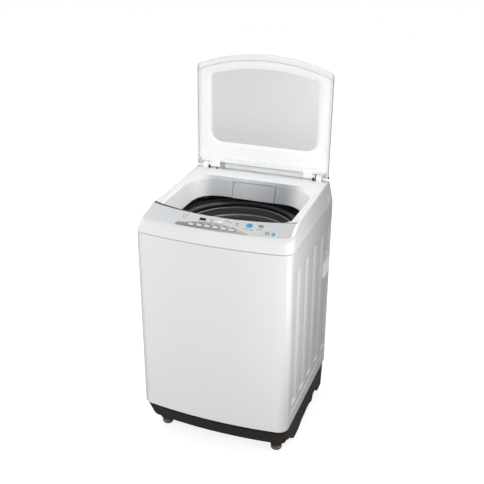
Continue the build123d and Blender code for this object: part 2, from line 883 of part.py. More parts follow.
with BuildPart() as pulsator_cap:
    with Locations((0, 0, pulsator_low + 42 + gap)):
        Cylinder(22, 8, align=on_base)
        Cylinder(shaft_radius - 2, 6, align=hung)
    fillet(pulsator_cap.faces().sort_by(Axis.Z)[-1].edges(), 3)

# Lid, drawn in its own plane: x across, y from the hinge to the front edge, z to the outside
lean = radians(lid_lean)
lid_plane = Plane(
    origin=(0, hinge_y, hinge_z),
    x_dir=(-1, 0, 0),
    z_dir=(0, cos(lean), -sin(lean)),
)
lid_reach = (hinge_y - lid_front) / cos(radians(deck_tilt)) - 2
lid_curve = arc_radius - 2
rim_low = -11.5
rim_wall = 3.0
shell_low = 7.5
shell_high = 10.5
notch = 231.0
notch_reach = 12.5
corner_reach = -4.0
lip = 23.0
plateau_half = 236.0
plateau_low = 30.0
plateau_top = -5.0
arm_inner = 160.0
arm_outer = 194.0
arm_radius = 11.0
window_low_edge = 89.0
window_half_width = 203.0
window_reach = 365.0


def lid_outline(level, half, low, reach, front_radius, rear_radius):
    """Lid-shaped face at a level: a curved front edge at reach, straight sides and rear."""
    end = reach - lid_curve + sqrt(lid_curve**2 - half**2)
    with BuildSketch(lid_plane.offset(level)) as outline:
        with BuildLine():
            Polyline((-half, end), (-half, low), (half, low), (half, end))
            ThreePointArc((half, end), (0, reach), (-half, end))
        make_face()
        fillet(outline.vertices().group_by(Axis.Y)[-1], front_radius)
        fillet(outline.vertices().group_by(Axis.Y)[0], rear_radius)
    return outline.sketch.face()


def lid_slab(face, amount):
    with BuildPart() as slab:
        extrude(face, amount=amount, dir=lid_plane.z_dir)
    return slab.part


def lid_block(level, half, low, reach, front_radius, rear_radius, amount):
    return lid_slab(lid_outline(level, half, low, reach, front_radius, rear_radius), amount)


def lid_opening(grow):
    return lid_block(
        -40,
        window_half_width + grow,
        window_low_edge - grow,
        window_reach + grow,
        26 + grow,
        46 + grow,
        80,
    )


with BuildPart() as hinge_notch:
    with BuildSketch(lid_plane):
        Rectangle(2 * notch, 2 * notch_reach)
    extrude(amount=40, both=True)
with BuildPart() as lid_shell:
    add(lid_block(rim_low, lid_half_width, corner_reach, lid_reach, 24, 3, shell_high - rim_low))
    add(
        lid_block(
            rim_low - 1,
            lid_half_width - rim_wall,
            corner_reach - 20,
            lid_reach - rim_wall,
            21,
            3,
            shell_low - rim_low + 1,
        ),
        mode=Mode.SUBTRACT,
    )
    add(hinge_notch.part, mode=Mode.SUBTRACT)
    add(lid_opening(2), mode=Mode.SUBTRACT)
with BuildPart() as lid_inner_frame:
    inner_half = lid_half_width - rim_wall - gap
    add(lid_block(0, inner_half, notch_reach + 0.5, lid_reach - rim_wall - gap, 20, 3, 2.5))
    add(lid_block(plateau_top, plateau_half, plateau_low, lid_reach - lip, 22, 12, -plateau_top))
    for side in (-1, 1):
        with BuildSketch(lid_plane.offset(-arm_radius)):
            with Locations((side * (arm_inner + arm_outer) / 2, 0)):
                Rectangle(arm_outer - arm_inner, 22, align=(Align.CENTER, Align.MIN))
        extrude(amount=arm_radius + 2.5)
        with Locations(lid_plane):
            with Locations((side * (arm_inner + arm_outer) / 2, 0, 0)):
                Cylinder(arm_radius, arm_outer - arm_inner, rotation=(0, 90, 0))
                Cylinder(pin_radius + running, 60, rotation=(0, 90, 0), mode=Mode.SUBTRACT)
    add(lid_opening(0), mode=Mode.SUBTRACT)
with BuildPart() as lid_window:
    add(
        lid_block(
            2.8,
            window_half_width + 12,
            window_low_edge - 12,
            window_reach + 12,
            38,
            58,
            shell_low - 2.8 - gap,
        )
    )
with BuildPart() as lid_hinge_bar:
    with Locations(lid_plane):
        Cylinder(arm_radius - 1, 2 * (arm_inner - gap), rotation=(0, 90, 0))
        Cylinder(arm_radius - 4, 2 * arm_inner, rotation=(0, 90, 0), mode=Mode.SUBTRACT)
with BuildPart() as lid_bumpers:
    with BuildSketch(lid_plane.offset(-13)):
        with Locations((-243, 17), (243, 17), (-243, 345), (243, 345)):
            Circle(3)
    extrude(amount=13 - gap)


# Hinge pins, held in the cover's ears and running in the lid's arms
def hinge_pin(side):
    with BuildPart() as pin:
        with Locations((side * (arm_inner + 6 + ear_outer) / 2, hinge_y, hinge_z)):
            Cylinder(pin_radius, ear_outer - arm_inner - 6, rotation=(0, 90, 0))
    return pin


hinge_pin_left = hinge_pin(-1)
hinge_pin_right = hinge_pin(1)

# Every finished piece, by the name of its file
pieces = {
    "cabinet": cabinet,
    "side_handle_left": side_handle_left,
    "side_handle_right": side_handle_right,
    "rear_panel": rear_panel,
    "rear_panel_screws": rear_panel_screws,
    "drain_collar": drain_collar,
    "cord_gland": cord_gland,
    "base_frame": base_frame,
    "front_foot_left": front_foot_left,
    "front_foot_right": front_foot_right,
    "rear_feet": rear_feet,
    "top_cover": top_cover,
    "control_panel": control_panel,
    "button_strip": button_strip,
    "display_window": display_window,
    "start_button": start_button,
    "power_button": power_button,
    "control_board": control_board,
    "detergent_drawer": detergent_drawer,
    "drawer_housing": drawer_housing,
    "inlet_valve": inlet_valve,
    "inlet_pipe": inlet_pipe,
    "lid_switch": lid_switch,
    "water_level_sensor": water_level_sensor,
    "capacitor": capacitor,
    "outer_tub": outer_tub,
    "tub_cover": tub_cover,
    "corner_brackets": corner_brackets,
    "suspension_rods": suspension_rods,
    "suspension_cups": suspension_cups,
    "suspension_springs": suspension_springs,
    "support_plate": support_plate,
    "gearbox": gearbox,
    "motor": motor,
    "drive_belt": drive_belt,
    "drive_pulley": drive_pulley,
    "motor_pulley": motor_pulley,
    "drain_valve": drain_valve,
    "basket_wall": basket_wall,
    "basket_base": basket_base,
    "basket_flange": basket_flange,
    "balance_ring": balance_ring,
    "lint_filter": lint_filter,
    "pulsator": pulsator,
    "drive_shaft": drive_shaft,
    "pulsator_cap": pulsator_cap,
    "lid_shell": lid_shell,
    "lid_inner_frame": lid_inner_frame,
    "lid_window": lid_window,
    "lid_hinge_bar": lid_hinge_bar,
    "lid_bumpers": lid_bumpers,
    "hinge_pin_left": hinge_pin_left,
    "hinge_pin_right": hinge_pin_right,
}
for index, button in enumerate(function_buttons, start=1):
    pieces[f"function_button_{index}"] = button

for name, piece in pieces.items():
    piece.part.label = name
    export_step(piece.part, f"parts/{name}.step")
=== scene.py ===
import json
from math import atan2, copysign, cos, hypot, pi, radians, sin, sqrt, tan

import bmesh
import bpy
from mathutils import Matrix, Vector, kdtree

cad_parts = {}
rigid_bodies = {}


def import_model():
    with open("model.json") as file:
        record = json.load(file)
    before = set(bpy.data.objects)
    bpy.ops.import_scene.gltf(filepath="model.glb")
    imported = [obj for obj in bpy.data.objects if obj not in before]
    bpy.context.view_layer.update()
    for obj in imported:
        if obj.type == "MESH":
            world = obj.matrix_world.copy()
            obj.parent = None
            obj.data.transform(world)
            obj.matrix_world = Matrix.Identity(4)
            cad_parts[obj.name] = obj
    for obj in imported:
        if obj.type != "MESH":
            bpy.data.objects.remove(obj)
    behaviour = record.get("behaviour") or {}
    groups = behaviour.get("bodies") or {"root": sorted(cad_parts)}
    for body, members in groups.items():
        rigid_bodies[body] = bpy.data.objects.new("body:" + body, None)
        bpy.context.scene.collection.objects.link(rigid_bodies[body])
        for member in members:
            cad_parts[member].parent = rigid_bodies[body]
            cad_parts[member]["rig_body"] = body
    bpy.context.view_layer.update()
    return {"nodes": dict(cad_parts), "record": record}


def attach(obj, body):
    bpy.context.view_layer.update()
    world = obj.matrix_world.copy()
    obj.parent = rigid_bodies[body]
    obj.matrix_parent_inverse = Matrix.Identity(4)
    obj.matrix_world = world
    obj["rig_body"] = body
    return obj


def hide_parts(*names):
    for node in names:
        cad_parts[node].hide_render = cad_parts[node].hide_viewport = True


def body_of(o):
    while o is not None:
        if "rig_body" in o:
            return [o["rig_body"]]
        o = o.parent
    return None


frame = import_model()
nodes = frame["nodes"]


# camera, at the photograph's place
view = {
    "azimuth": 20.46, "elevation": 24.46, "roll": 0.27,
    "lens": 57.67, "sensor": 36, "place": (0.8722, -2.2893, 1.8186),
}


def addCamera():
    az, el, roll = (radians(view[key]) for key in ("azimuth", "elevation", "roll"))
    back = Vector((sin(az) * cos(el), -cos(az) * cos(el), sin(el)))
    right = Vector((cos(az), sin(az), 0))
    up = back.cross(right)
    tilted = right * cos(roll) + up * sin(roll)
    upright = up * cos(roll) - right * sin(roll)
    lens = bpy.data.cameras.new("photoCamera")
    lens.lens = view["lens"]
    lens.sensor_width = view["sensor"]
    camera = bpy.data.objects.new("photoCamera", lens)
    bpy.context.scene.collection.objects.link(camera)
    turn = Matrix((tilted, upright, back)).transposed().to_4x4()
    camera.matrix_world = Matrix.Translation(view["place"]) @ turn
    bpy.context.scene.camera = camera


addCamera()


# node maths for the materials: a wire is an output socket that can be added, multiplied and compared
class Wire:
    def __init__(self, finish, socket):
        self.finish = finish
        self.socket = socket

    def maths(self, operation, *values):
        return self.finish.add("ShaderNodeMath", {"operation": operation}, list(values))

    def __add__(self, other):
        return self.maths("ADD", self, other)

    def __sub__(self, other):
        return self.maths("SUBTRACT", self, other)

    def __rsub__(self, other):
        return self.maths("SUBTRACT", other, self)

    def __mul__(self, other):
        return self.maths("MULTIPLY", self, other)

    def __truediv__(self, other):
        return self.maths("DIVIDE", self, other)

    def __lt__(self, other):
        return self.maths("LESS_THAN", self, other)

    def __gt__(self, other):
        return self.maths("GREATER_THAN", self, other)

    def __pow__(self, other):
        return self.maths("POWER", self, other)

    def __abs__(self):
        return self.maths("ABSOLUTE", self)

    __radd__ = __add__
    __rmul__ = __mul__


# a node tree with the shader that its values go to; constants go straight on the shader's sockets
class Nodes:
    def __init__(self, tree, shader):
        self.tree = tree
        self.shader = tree.nodes[shader]

    def put(self, socket, value):
        target = self.shader.inputs[socket.replace("_", " ")]
        if isinstance(value, Wire):
            self.tree.links.new(value.socket, target)
        else:
            target.default_value = value

    def add(self, kind, settings, inputs, output=0):
        made = self.tree.nodes.new(kind)
        for key, value in settings.items():
            setattr(made, key, value)
        pairs = enumerate(inputs) if isinstance(inputs, list) else inputs.items()
        for key, value in pairs:
            if isinstance(value, Wire):
                self.tree.links.new(value.socket, made.inputs[key])
            else:
                made.inputs[key].default_value = value
        return Wire(self, made.outputs[output])

    def place(self):
        return self.add("ShaderNodeTexCoord", {}, {}, "Object")

    def axes(self, names):  # parts of the place on a piece, such as "XZ"
        place = self.place()
        return [self.add("ShaderNodeSeparateXYZ", {}, [place], name) for name in names]

    def noise(self, scale, detail=2.0, stretch=(1, 1, 1)):
        mapped = self.add("ShaderNodeMapping", {}, {"Vector": self.place(), "Scale": stretch})
        return self.add("ShaderNodeTexNoise", {}, {"Vector": mapped, "Scale": scale, "Detail": detail})

    def mix(self, factor, first, second):
        first = first if isinstance(first, Wire) else (*first, 1)
        second = second if isinstance(second, Wire) else (*second, 1)
        return self.add("ShaderNodeMix", {"data_type": "RGBA"}, {0: factor, 6: first, 7: second}, 2)

    def ramp(self, value, low, high):  # 0 below low, 1 above high, smooth between
        settings = {"interpolation_type": "SMOOTHSTEP"}
        return self.add("ShaderNodeMapRange", settings, {"Value": value, "From Min": low, "From Max": high})

    def band(self, value, rise, fall):  # 1 between two spans, 0 outside them, smooth over each
        return self.ramp(value, *rise) * (1.0 - self.ramp(value, *fall))

    def bump(self, height, strength, distance):
        made = self.add("ShaderNodeBump", {}, {"Strength": strength, "Distance": distance, "Height": height})
        self.put("Normal", made)


class Finish(Nodes):
    def __init__(self, name, colour, roughness, metallic=0.0, **sockets):
        self.material = bpy.data.materials.new(name)
        self.material.use_nodes = True
        super().__init__(self.material.node_tree, "Principled BSDF")
        self.roughness = roughness
        self.put("Base Color", (*colour, 1))
        self.put("Roughness", roughness)
        self.put("Metallic", metallic)
        for socket, value in sockets.items():
            self.put(socket, value)
        self.material.diffuse_color = (*colour, 1)

    def grain(self, scale, depth, distance=0.0004, detail=2.0):
        self.bump(self.noise(scale, detail), depth, distance)

    def dress(self, colour, spread, grain=None, scale=24.0):  # colour, patches of gloss, fine bump
        self.put("Base Color", colour)
        self.put("Roughness", self.noise(scale, 4.0) * spread + (self.roughness - spread / 2))
        if grain:
            self.grain(*grain)
        return self.material


def toned(colour, factor, lift=0.0):  # a lighter or darker colour
    return tuple(min(1.0, part * factor + lift) for part in colour)


# cabinet wrap: bowed front, pressed ribs on a sunk field at each side, a window at the rear
wrap = {
    "half": 0.27, "front": -0.2606, "rear": 0.2606, "bow": 0.0212, "corner": 0.037, "rearCorner": 0.008,
    "low": 0.1315, "high": 0.7993, "edge": 0.0016, "flange": 0.014, "sheet": 0.001,
    "ribs": 5, "ribFirst": -0.151, "ribPitch": 0.094, "ribWidth": 0.054, "ribFall": 0.012, "ribRise": 0.01,
    "ribDepth": 0.0055, "ribEnd": 0.006, "ribLow": 0.2, "ribHigh": 0.715,
    "fieldLow": 0.175, "fieldHigh": 0.73, "fieldDepth": 0.003, "fieldEdge": 0.003,
    "gripY": (0.178, 0.2515), "gripZ": (0.527, 0.589), "gripRim": 0.011,
    "windowHalf": 0.232, "windowZ": (0.165, 0.77),
}


# white enamel: painted shade greys the sides and darkens the front of each rib's floor, with a faint orange
# peel
enamel = {
    "colour": (0.75, 0.75, 0.75), "light": 1.02, "side": (0.628, 0.626, 0.617), "sideX": (0.236, 0.261),
    "creaseShade": 0.8, "creaseShadeX": ((0.26, 0.261), (0.2645, 0.2655)),
    "creaseShadeY": ((0.011, 0.015), (0.017, 0.036)), "roughness": 0.3, "peel": (260.0, 0.06, 0.0004, 1.0),
}


def whiteEnamel():
    finish = Finish("whiteEnamel", enamel["colour"], enamel["roughness"], Coat_Weight=0.25, Coat_Roughness=0.12)
    x, y = finish.axes("XY")
    colour = finish.mix(finish.noise(3.0, 3.0), enamel["colour"], toned(enamel["colour"], enamel["light"]))
    # painted shade: the sides greyer than the front
    colour = finish.mix(finish.ramp(abs(x), *enamel["sideX"]), colour, enamel["side"])
    # painted shade at the front of each rib's floor, behind the rib's edge
    start = wrap["ribFirst"] - wrap["ribWidth"] / 2
    past = finish.add("ShaderNodeMath", {"operation": "FRACT"}, [(y - start) / wrap["ribPitch"]])
    creaseShade = finish.band(past * wrap["ribPitch"], *enamel["creaseShadeY"]) * (y > start)
    creaseShade = creaseShade * finish.band(abs(x), *enamel["creaseShadeX"])
    colour = finish.mix(creaseShade, colour, toned(enamel["side"], enamel["creaseShade"]))
    return finish.dress(colour, 0.06, enamel["peel"], 9.0)


# moulded white plastic of the lid and the cover, each between two shades
moulded = {
    "colour": (0.82, 0.82, 0.82), "roughness": 0.34, "wear": (0.08, (900.0, 0.05, 0.0002), 14.0),
    "lid": ((0.905, 0.91, 0.91), (0.925, 0.925, 0.925)),
    "cover": ((0.875, 0.88, 0.885), (0.895, 0.895, 0.895)),
}


def mouldedFinish(name):
    return Finish(name, moulded["colour"], moulded["roughness"], Coat_Weight=0.1, Coat_Roughness=0.2)


def whitePlastic():
    finish = mouldedFinish("whitePlastic")
    return finish.dress(finish.mix(finish.noise(4.0), *moulded["lid"]), *moulded["wear"])


# the lid frame's plastic: white with a soft grey line of painted shade in the groove under the curved edge
groove = {
    "hub": 0.58724, "line": ((0.6905, 0.6935), (0.6935, 0.6965)), "lineZ": (1.15, 1.17),
    "grey": (0.6, 0.6, 0.6),
}


def rimmedPlastic():
    finish = mouldedFinish("rimmedPlastic")
    x, z = finish.axes("XZ")
    along = z - groove["hub"]
    # painted shade: a grey line under the curved edge
    line = finish.band((x * x + along * along) ** 0.5, *groove["line"]) * finish.ramp(z, *groove["lineZ"])
    colour = finish.mix(finish.noise(4.0), *moulded["lid"])
    return finish.dress(finish.mix(line, colour, groove["grey"]), *moulded["wear"])


# the cover's plastic: white, with painted shade greying the fascia and sides, a cool grey painted shade on the
# rear wall and a dark painted shadow along the mouth's front edge
coverTones = {
    "fascia": (0.675, 0.675, 0.67), "fasciaRight": (0.72, 0.72, 0.71),
    "fasciaX": (-0.2, 0.1), "fasciaY": (-0.19, -0.17), "fasciaZ": (0.84, 0.852),
    "side": (0.665, 0.662, 0.648), "sideX": (0.2655, 0.2685), "sideLean": 0.208, "seam": 0.8,
    "trim": (0.05, 0.05, 0.05), "mouthShadowHub": 0.55094, "trimX": (0.16, 0.19),
    "mouthShadowBand": ((0.7085, 0.7105), (0.7165, 0.7175)),
    "wallShadeLeft": (0.53, 0.55, 0.57), "wallShadeRight": (0.3, 0.315, 0.34), "wallShade": (-0.05, 0.17),
    "wallX": ((-0.215, -0.15), (0.1, 0.205)), "wallY": ((0.06, 0.15), (0.196, 0.206)),
    "wallZ": (0.8643, 0.8668),
}


def coverPlastic():
    finish, tones = mouldedFinish("coverPlastic"), coverTones
    x, y, z = finish.axes("XYZ")
    colour = finish.mix(finish.noise(4.0), *moulded["cover"])
    # painted shade on the fascia, lighter to the right
    fascia = (1.0 - finish.ramp(z, *tones["fasciaZ"])) * (1.0 - finish.ramp(y, *tones["fasciaY"]))
    front = finish.mix(finish.ramp(x, *tones["fasciaX"]), tones["fascia"], tones["fasciaRight"])
    colour = finish.mix(fascia, colour, front)
    # painted shade on the leaning sides
    side = finish.ramp(abs(x) + (z - tones["seam"]) * tones["sideLean"], *tones["sideX"])
    colour = finish.mix(side, colour, tones["side"])
    # painted shadow along the mouth's front edge
    away = y - tones["mouthShadowHub"]
    trim = finish.band((x * x + away * away) ** 0.5, *tones["mouthShadowBand"])
    trim = trim * (1.0 - finish.ramp(abs(x), *tones["trimX"]))
    colour = finish.mix(trim, colour, tones["trim"])
    # painted shade on the funnel's rear wall and the drawer, darker to the right
    wall = finish.band(x, *tones["wallX"]) * finish.band(y, *tones["wallY"])
    wall = wall * (1.0 - finish.ramp(z, *tones["wallZ"]))
    shade = finish.mix(finish.ramp(x, *tones["wallShade"]), tones["wallShadeLeft"], tones["wallShadeRight"])
    return finish.dress(finish.mix(wall, colour, shade), *moulded["wear"])


# plain plastic, rubber and paint
def plainPlastic(name, colour, roughness, grain=700.0, depth=0.12):
    finish = Finish(name, colour, roughness)
    mottled = finish.mix(finish.noise(11.0, 5.0), toned(colour, 0.9), toned(colour, 1.12, 0.004))
    return finish.dress(mottled, 0.1, (grain, depth))


# charcoal base: a painted shadow darkens it under the cabinet's edge
plinth = {
    "grey": (0.03, 0.0255, 0.022), "dark": (0.01, 0.009, 0.008), "darkZ": (0.105, 0.122), "roughness": 0.6,
}


def plinthPlastic():
    finish = Finish("charcoalPlastic", plinth["grey"], plinth["roughness"], Specular_IOR_Level=0.15)
    [z] = finish.axes("Z")
    grey = finish.mix(finish.noise(11.0, 5.0), toned(plinth["grey"], 0.9), toned(plinth["grey"], 1.1))
    # painted shadow under the cabinet's edge
    return finish.dress(finish.mix(finish.ramp(z, *plinth["darkZ"]), grey, plinth["dark"]), 0.1, (500.0, 0.3))


# balance ring: grey on top, with painted shade making its inner face near black
ringTones = {
    "top": (0.08, 0.082, 0.082), "inner": (0.022, 0.0225, 0.023), "topZ": (0.764, 0.771), "roughness": 0.24,
}


def ringPlastic():
    finish = Finish("ringGrey", ringTones["top"], ringTones["roughness"])
    [z] = finish.axes("Z")
    # painted shade down the inner face, lighter on the top
    top = finish.ramp(z, *ringTones["topZ"])
    return finish.dress(finish.mix(top, ringTones["inner"], ringTones["top"]), 0.1, (700.0, 0.04))


def brushedSteel(name, colour, roughness, stretch, metallic=1.0, **sockets):
    finish = Finish(name, colour, roughness, metallic, **sockets)
    streaks = finish.noise(1.0, 3.0, stretch)
    finish.put("Base Color", finish.mix(streaks, toned(colour, 0.86), toned(colour, 1.1)))
    finish.put("Roughness", streaks * 0.18 + (roughness - 0.09))
    finish.bump(streaks, 0.08, 0.0003)
    return finish.material


def castMetal(name, colour, roughness):
    finish = Finish(name, colour, roughness, 0.9)
    grains = finish.noise(420.0, 4.0)
    finish.put("Base Color", finish.mix(finish.noise(18.0, 5.0), toned(colour, 0.78), colour))
    finish.put("Roughness", grains * 0.2 + (roughness - 0.1))
    finish.bump(grains, 0.35, 0.0006)
    return finish.material


# prints on the control panel, in metres seen from above: place, half size, colour
prints = {
    "silver": (0.57, 0.59, 0.6), "silverShadeRight": (0.535, 0.54, 0.55), "silverX": (0.02, 0.24),
    "ink": (0.15, 0.155, 0.165), "pale": (0.8, 0.81, 0.82), "mottle": 0.12, "roughness": 0.38,
    "ovals": (
        (0.11, -0.179, 0.0112, 0.01, (0.045, 0.31, 0.5)),
        (0.114, -0.1762, 0.0045, 0.0034, (0.25, 0.55, 0.68)),
        (0.1465, -0.1722, 0.01, 0.007, (0.3, 0.21, 0.22)),
        (0.1485, -0.1736, 0.0042, 0.0025, (0.52, 0.43, 0.44)),
        (0.1215, -0.196, 0.008, 0.0022, (0.16, 0.36, 0.52)),
        (0.1965, -0.1925, 0.0125, 0.0115, (0.53, 0.63, 0.68)),
        (-0.1175, -0.2096, 0.0145, 0.0046, (0.27, 0.258, 0.235)),
    ),
    "dashes": (
        (0.103, 0.006, -0.1945), (0.1445, 0.0085, -0.1868), (-0.118, 0.0035, -0.172),
        (-0.106, 0.0035, -0.1705), (-0.119, 0.0035, -0.1795), (-0.107, 0.0035, -0.178),
        (-0.113, 0.005, -0.186), (-0.074, 0.0012, -0.177), (-0.019, 0.0045, -0.181),
        (-0.016, 0.006, -0.1885), (0.034, 0.007, -0.177), (0.047, 0.004, -0.1825),
        (0.069, 0.0065, -0.18), (0.071, 0.005, -0.188),
    ),
    "dashHalf": 0.0017, "dashStrength": 0.75, "patch": (0.0115, -0.1855, 0.009, 0.004),
}


def spotMask(finish, x, y, across, along, halfAcross, halfAlong):  # 1 inside an oval, with a soft edge
    dx, dy = (x - across) / halfAcross, (y - along) / halfAlong
    return 1.0 - finish.ramp(dx * dx + dy * dy, 0.75, 1.15)


def panelPrint():
    finish = Finish("panelPrint", prints["silver"], prints["roughness"], Coat_Weight=0.2, Coat_Roughness=0.15)
    x, y = finish.axes("XY")
    # painted shade: the silver darker towards the right
    silver = finish.mix(finish.ramp(x, *prints["silverX"]), prints["silver"], prints["silverShadeRight"])
    colour = finish.mix(finish.noise(9.0, 4.0) * prints["mottle"], silver, prints["pale"])
    colour = finish.mix(spotMask(finish, x, y, *prints["patch"]), colour, prints["pale"])
    for *spot, ink in reversed(prints["ovals"]):
        colour = finish.mix(spotMask(finish, x, y, *spot), colour, ink)
    for across, half, along in prints["dashes"]:
        mask = (abs(x - across) < half) * (abs(y - along) < prints["dashHalf"])
        colour = finish.mix(mask * prints["dashStrength"], colour, prints["ink"])
    return finish.dress(colour, 0.08, (700.0, 0.06, 0.0003))


# the leaf: warm grey, paler to the right, with painted shade at its lower edge and a painted shadow beside each
# key
leaf = {  # spots at the keys as strength, shift from the key's middle, half size
    "left": (0.27, 0.258, 0.235), "right": (0.53, 0.515, 0.485), "rightX": (-0.12, 0.11),
    "shade": (0.1, 0.1, 0.105), "low": 0.4, "lowY": (-0.224, -0.206),
    "key": (0.7, 0.71, 0.715), "keys": 6, "first": -0.076, "pitch": 0.028, "row": -0.21,
    "keyShadow": (0.8, (0.0018, -0.0012), (0.0118, 0.0085)),
    "crescent": (0.9, (0.0006, -0.0014), (0.0092, 0.0064)),
    "face": (1.0, (-0.0004, -0.0054), (0.009, 0.0058)),
}


def keySpots(finish, colour, ink, strength, shift, half):  # the same oval at each key
    x, y = finish.axes("XY")
    for index in range(leaf["keys"]):
        across, along = leaf["first"] + index * leaf["pitch"] + shift[0], leaf["row"] + shift[1]
        colour = finish.mix(spotMask(finish, x, y, across, along, *half) * strength, colour, ink)
    return colour


def leafPrint():
    finish = Finish("leafPrint", leaf["left"], 0.42)
    x, y = finish.axes("XY")
    grey = finish.mix(finish.ramp(x, *leaf["rightX"]), leaf["left"], leaf["right"])
    # painted shade along the lower edge
    low = finish.mix(leaf["low"], grey, leaf["shade"])
    colour = finish.mix(finish.ramp(y, *leaf["lowY"]), low, grey)
    # painted shadow beside each key
    colour = keySpots(finish, colour, leaf["shade"], *leaf["keyShadow"])
    return finish.dress(colour, 0.1, (600.0, 0.12, 0.0004, 3.0))


def keyPrint():
    finish = Finish("keyPrint", leaf["key"], 0.34)
    colour = finish.mix(finish.noise(30.0, 3.0), leaf["key"], toned(leaf["key"], 1.05))
    colour = keySpots(finish, colour, leaf["shade"], *leaf["crescent"])
    colour = keySpots(finish, colour, leaf["key"], *leaf["face"])
    return finish.dress(colour, 0.08, (900.0, 0.04, 0.0002), 40.0)


# round buttons: a coloured disc with a lighter middle, as name, place, disc, middle
roundKeys = {
    "start_button": ("startPrint", (0.1739, -0.1972), (0.03, 0.22, 0.16), (0.75, 0.8, 0.78)),
    "power_button": ("powerPrint", (0.1943, -0.1948), (0.06, 0.31, 0.5), (0.24, 0.48, 0.64)),
}
roundMiddle = 0.0028


def roundPrint(name, place, disc, middle):
    finish = Finish(name, disc, 0.3, Coat_Weight=0.3)
    x, y = finish.axes("XY")
    colour = finish.mix(spotMask(finish, x, y, *place, roundMiddle, roundMiddle), disc, middle)
    return finish.dress(colour, 0.08, scale=40.0)


# lid window: frosted, with fine dots, fading to white at its edge
pane = {
    "grey": (0.68, 0.675, 0.665), "low": (0.6, 0.6, 0.6), "greyZ": (0.97, 1.12), "pitch": 1400.0,
    "dot": (0.95, 0.95, 0.95), "dotSpan": (0.2, 0.6), "dotStrength": 0.16,
    "white": (0.9, 0.9, 0.9), "whiteX": (0.192, 0.208), "shift": 0.004,
}


def frostedPane():
    finish = Finish("frostedPane", pane["grey"], 0.3, Coat_Weight=0.3, Coat_Roughness=0.1)
    x, z = finish.axes("XZ")
    waves = {"operation": "SINE"}
    across, up = (finish.add("ShaderNodeMath", waves, [axis * pane["pitch"]]) for axis in (x, z))
    dots = across * up
    grey = finish.mix(finish.ramp(z, *pane["greyZ"]), pane["low"], pane["grey"])
    colour = finish.mix(finish.ramp(dots, *pane["dotSpan"]) * pane["dotStrength"], grey, pane["dot"])
    edge = finish.ramp(abs(x - pane["shift"]), *pane["whiteX"])
    finish.put("Base Color", finish.mix(edge, colour, pane["white"]))
    finish.put("Roughness", dots * 0.08 + 0.32)
    finish.bump(dots, 0.15, 0.0003)
    return finish.material


# hinge bar: pale blue grey, partly the plastic's own colour and partly painted shade, with a greener boss at
# its left end
barTones = {
    "grey": (0.69, 0.715, 0.745), "light": (0.73, 0.755, 0.785),
    "boss": (0.38, 0.42, 0.41), "bossEnd": -0.14,
}


def barPlastic():
    finish = Finish("barPlastic", barTones["grey"], 0.4)
    [x] = finish.axes("X")
    # the blue grey partly paints the shade between the hinge arms
    bar = finish.mix(finish.noise(11.0, 4.0), barTones["grey"], barTones["light"])
    colour = finish.mix(x < barTones["bossEnd"], bar, barTones["boss"])
    return finish.dress(colour, 0.1, (700.0, 0.08, 0.0003))


# the finish of each material slot; the plain ones as colour, roughness, grain and its depth
plainSlots = {
    "display_black": ((0.012, 0.012, 0.015), 0.12, 300.0, 0.02),
    "foot_plastic": ((0.13, 0.112, 0.1), 0.35, 400.0, 0.25),
    "bumper_rubber": ((0.02, 0.02, 0.02), 0.7, 500.0, 0.3),
    "tub_plastic": ((0.7, 0.71, 0.72), 0.45),
    "black_plastic": ((0.012, 0.012, 0.013), 0.4, 500.0, 0.2),
    "pulsator_plastic": ((0.58, 0.6, 0.63), 0.3, 600.0, 0.06),
    "motor_paint": ((0.03, 0.03, 0.033), 0.45, 600.0, 0.15),
    "belt_rubber": ((0.018, 0.018, 0.018), 0.75, 400.0, 0.35),
    "board_green": ((0.02, 0.13, 0.05), 0.4),
}


def camelName(slot):
    first, *rest = slot.split("_")
    return first + "".join(part.title() for part in rest)


finishes = {slot: plainPlastic(camelName(slot), *values) for slot, values in plainSlots.items()}
finishes.update({
    "white_paint": whiteEnamel(),
    "white_plastic": whitePlastic(),
    "rear_sheet": brushedSteel("galvanisedSheet", (0.62, 0.63, 0.64), 0.45, (60, 60, 60), 0.7),
    "panel_silver": panelPrint(),
    "leaf_grey": leafPrint(),
    "button_white": keyPrint(),
    "window_grey": frostedPane(),
    "bar_grey": barPlastic(),
    "charcoal_plastic": plinthPlastic(),
    "ring_grey": ringPlastic(),
    "drum_steel": brushedSteel("drumSteel", (0.46, 0.46, 0.45), 0.42, (14, 14, 900), 0.86, Anisotropic=0.95),
    "zinc_steel": brushedSteel("zincSteel", (0.58, 0.59, 0.6), 0.38, (90, 90, 90)),
    "cast_aluminium": castMetal("castAluminium", (0.6, 0.61, 0.62), 0.5),
})
for entry in frame["record"]["subparts"]:
    mesh = nodes[entry["node"]].data
    mesh.materials.clear()
    mesh.materials.append(finishes[entry["material_slot"]])

# pieces with a finish of their own
funnelWhite = coverPlastic()
own = {
    "lid_bumpers": plainPlastic("bumperGrey", (0.7, 0.71, 0.72), 0.6, 500.0, 0.2),
    # a dark strip of painted shade in the gap behind the panel
    "sealLeft": plainPlastic("gapShadeRubber", (0.07, 0.066, 0.062), 0.6, 500.0, 0.3),
    "lid_inner_frame": rimmedPlastic(), "detergent_drawer": funnelWhite, "top_cover": funnelWhite,
}
own.update({node: roundPrint(*values) for node, values in roundKeys.items()})
for node, material in own.items():
    if node in nodes:
        nodes[node].data.materials[0] = material
print("materials:", len(finishes) + len(own))


# modelling tools
limits = {"merge": 0.00001, "flat": radians(0.5), "sharp": radians(40), "bevelSteps": 2}


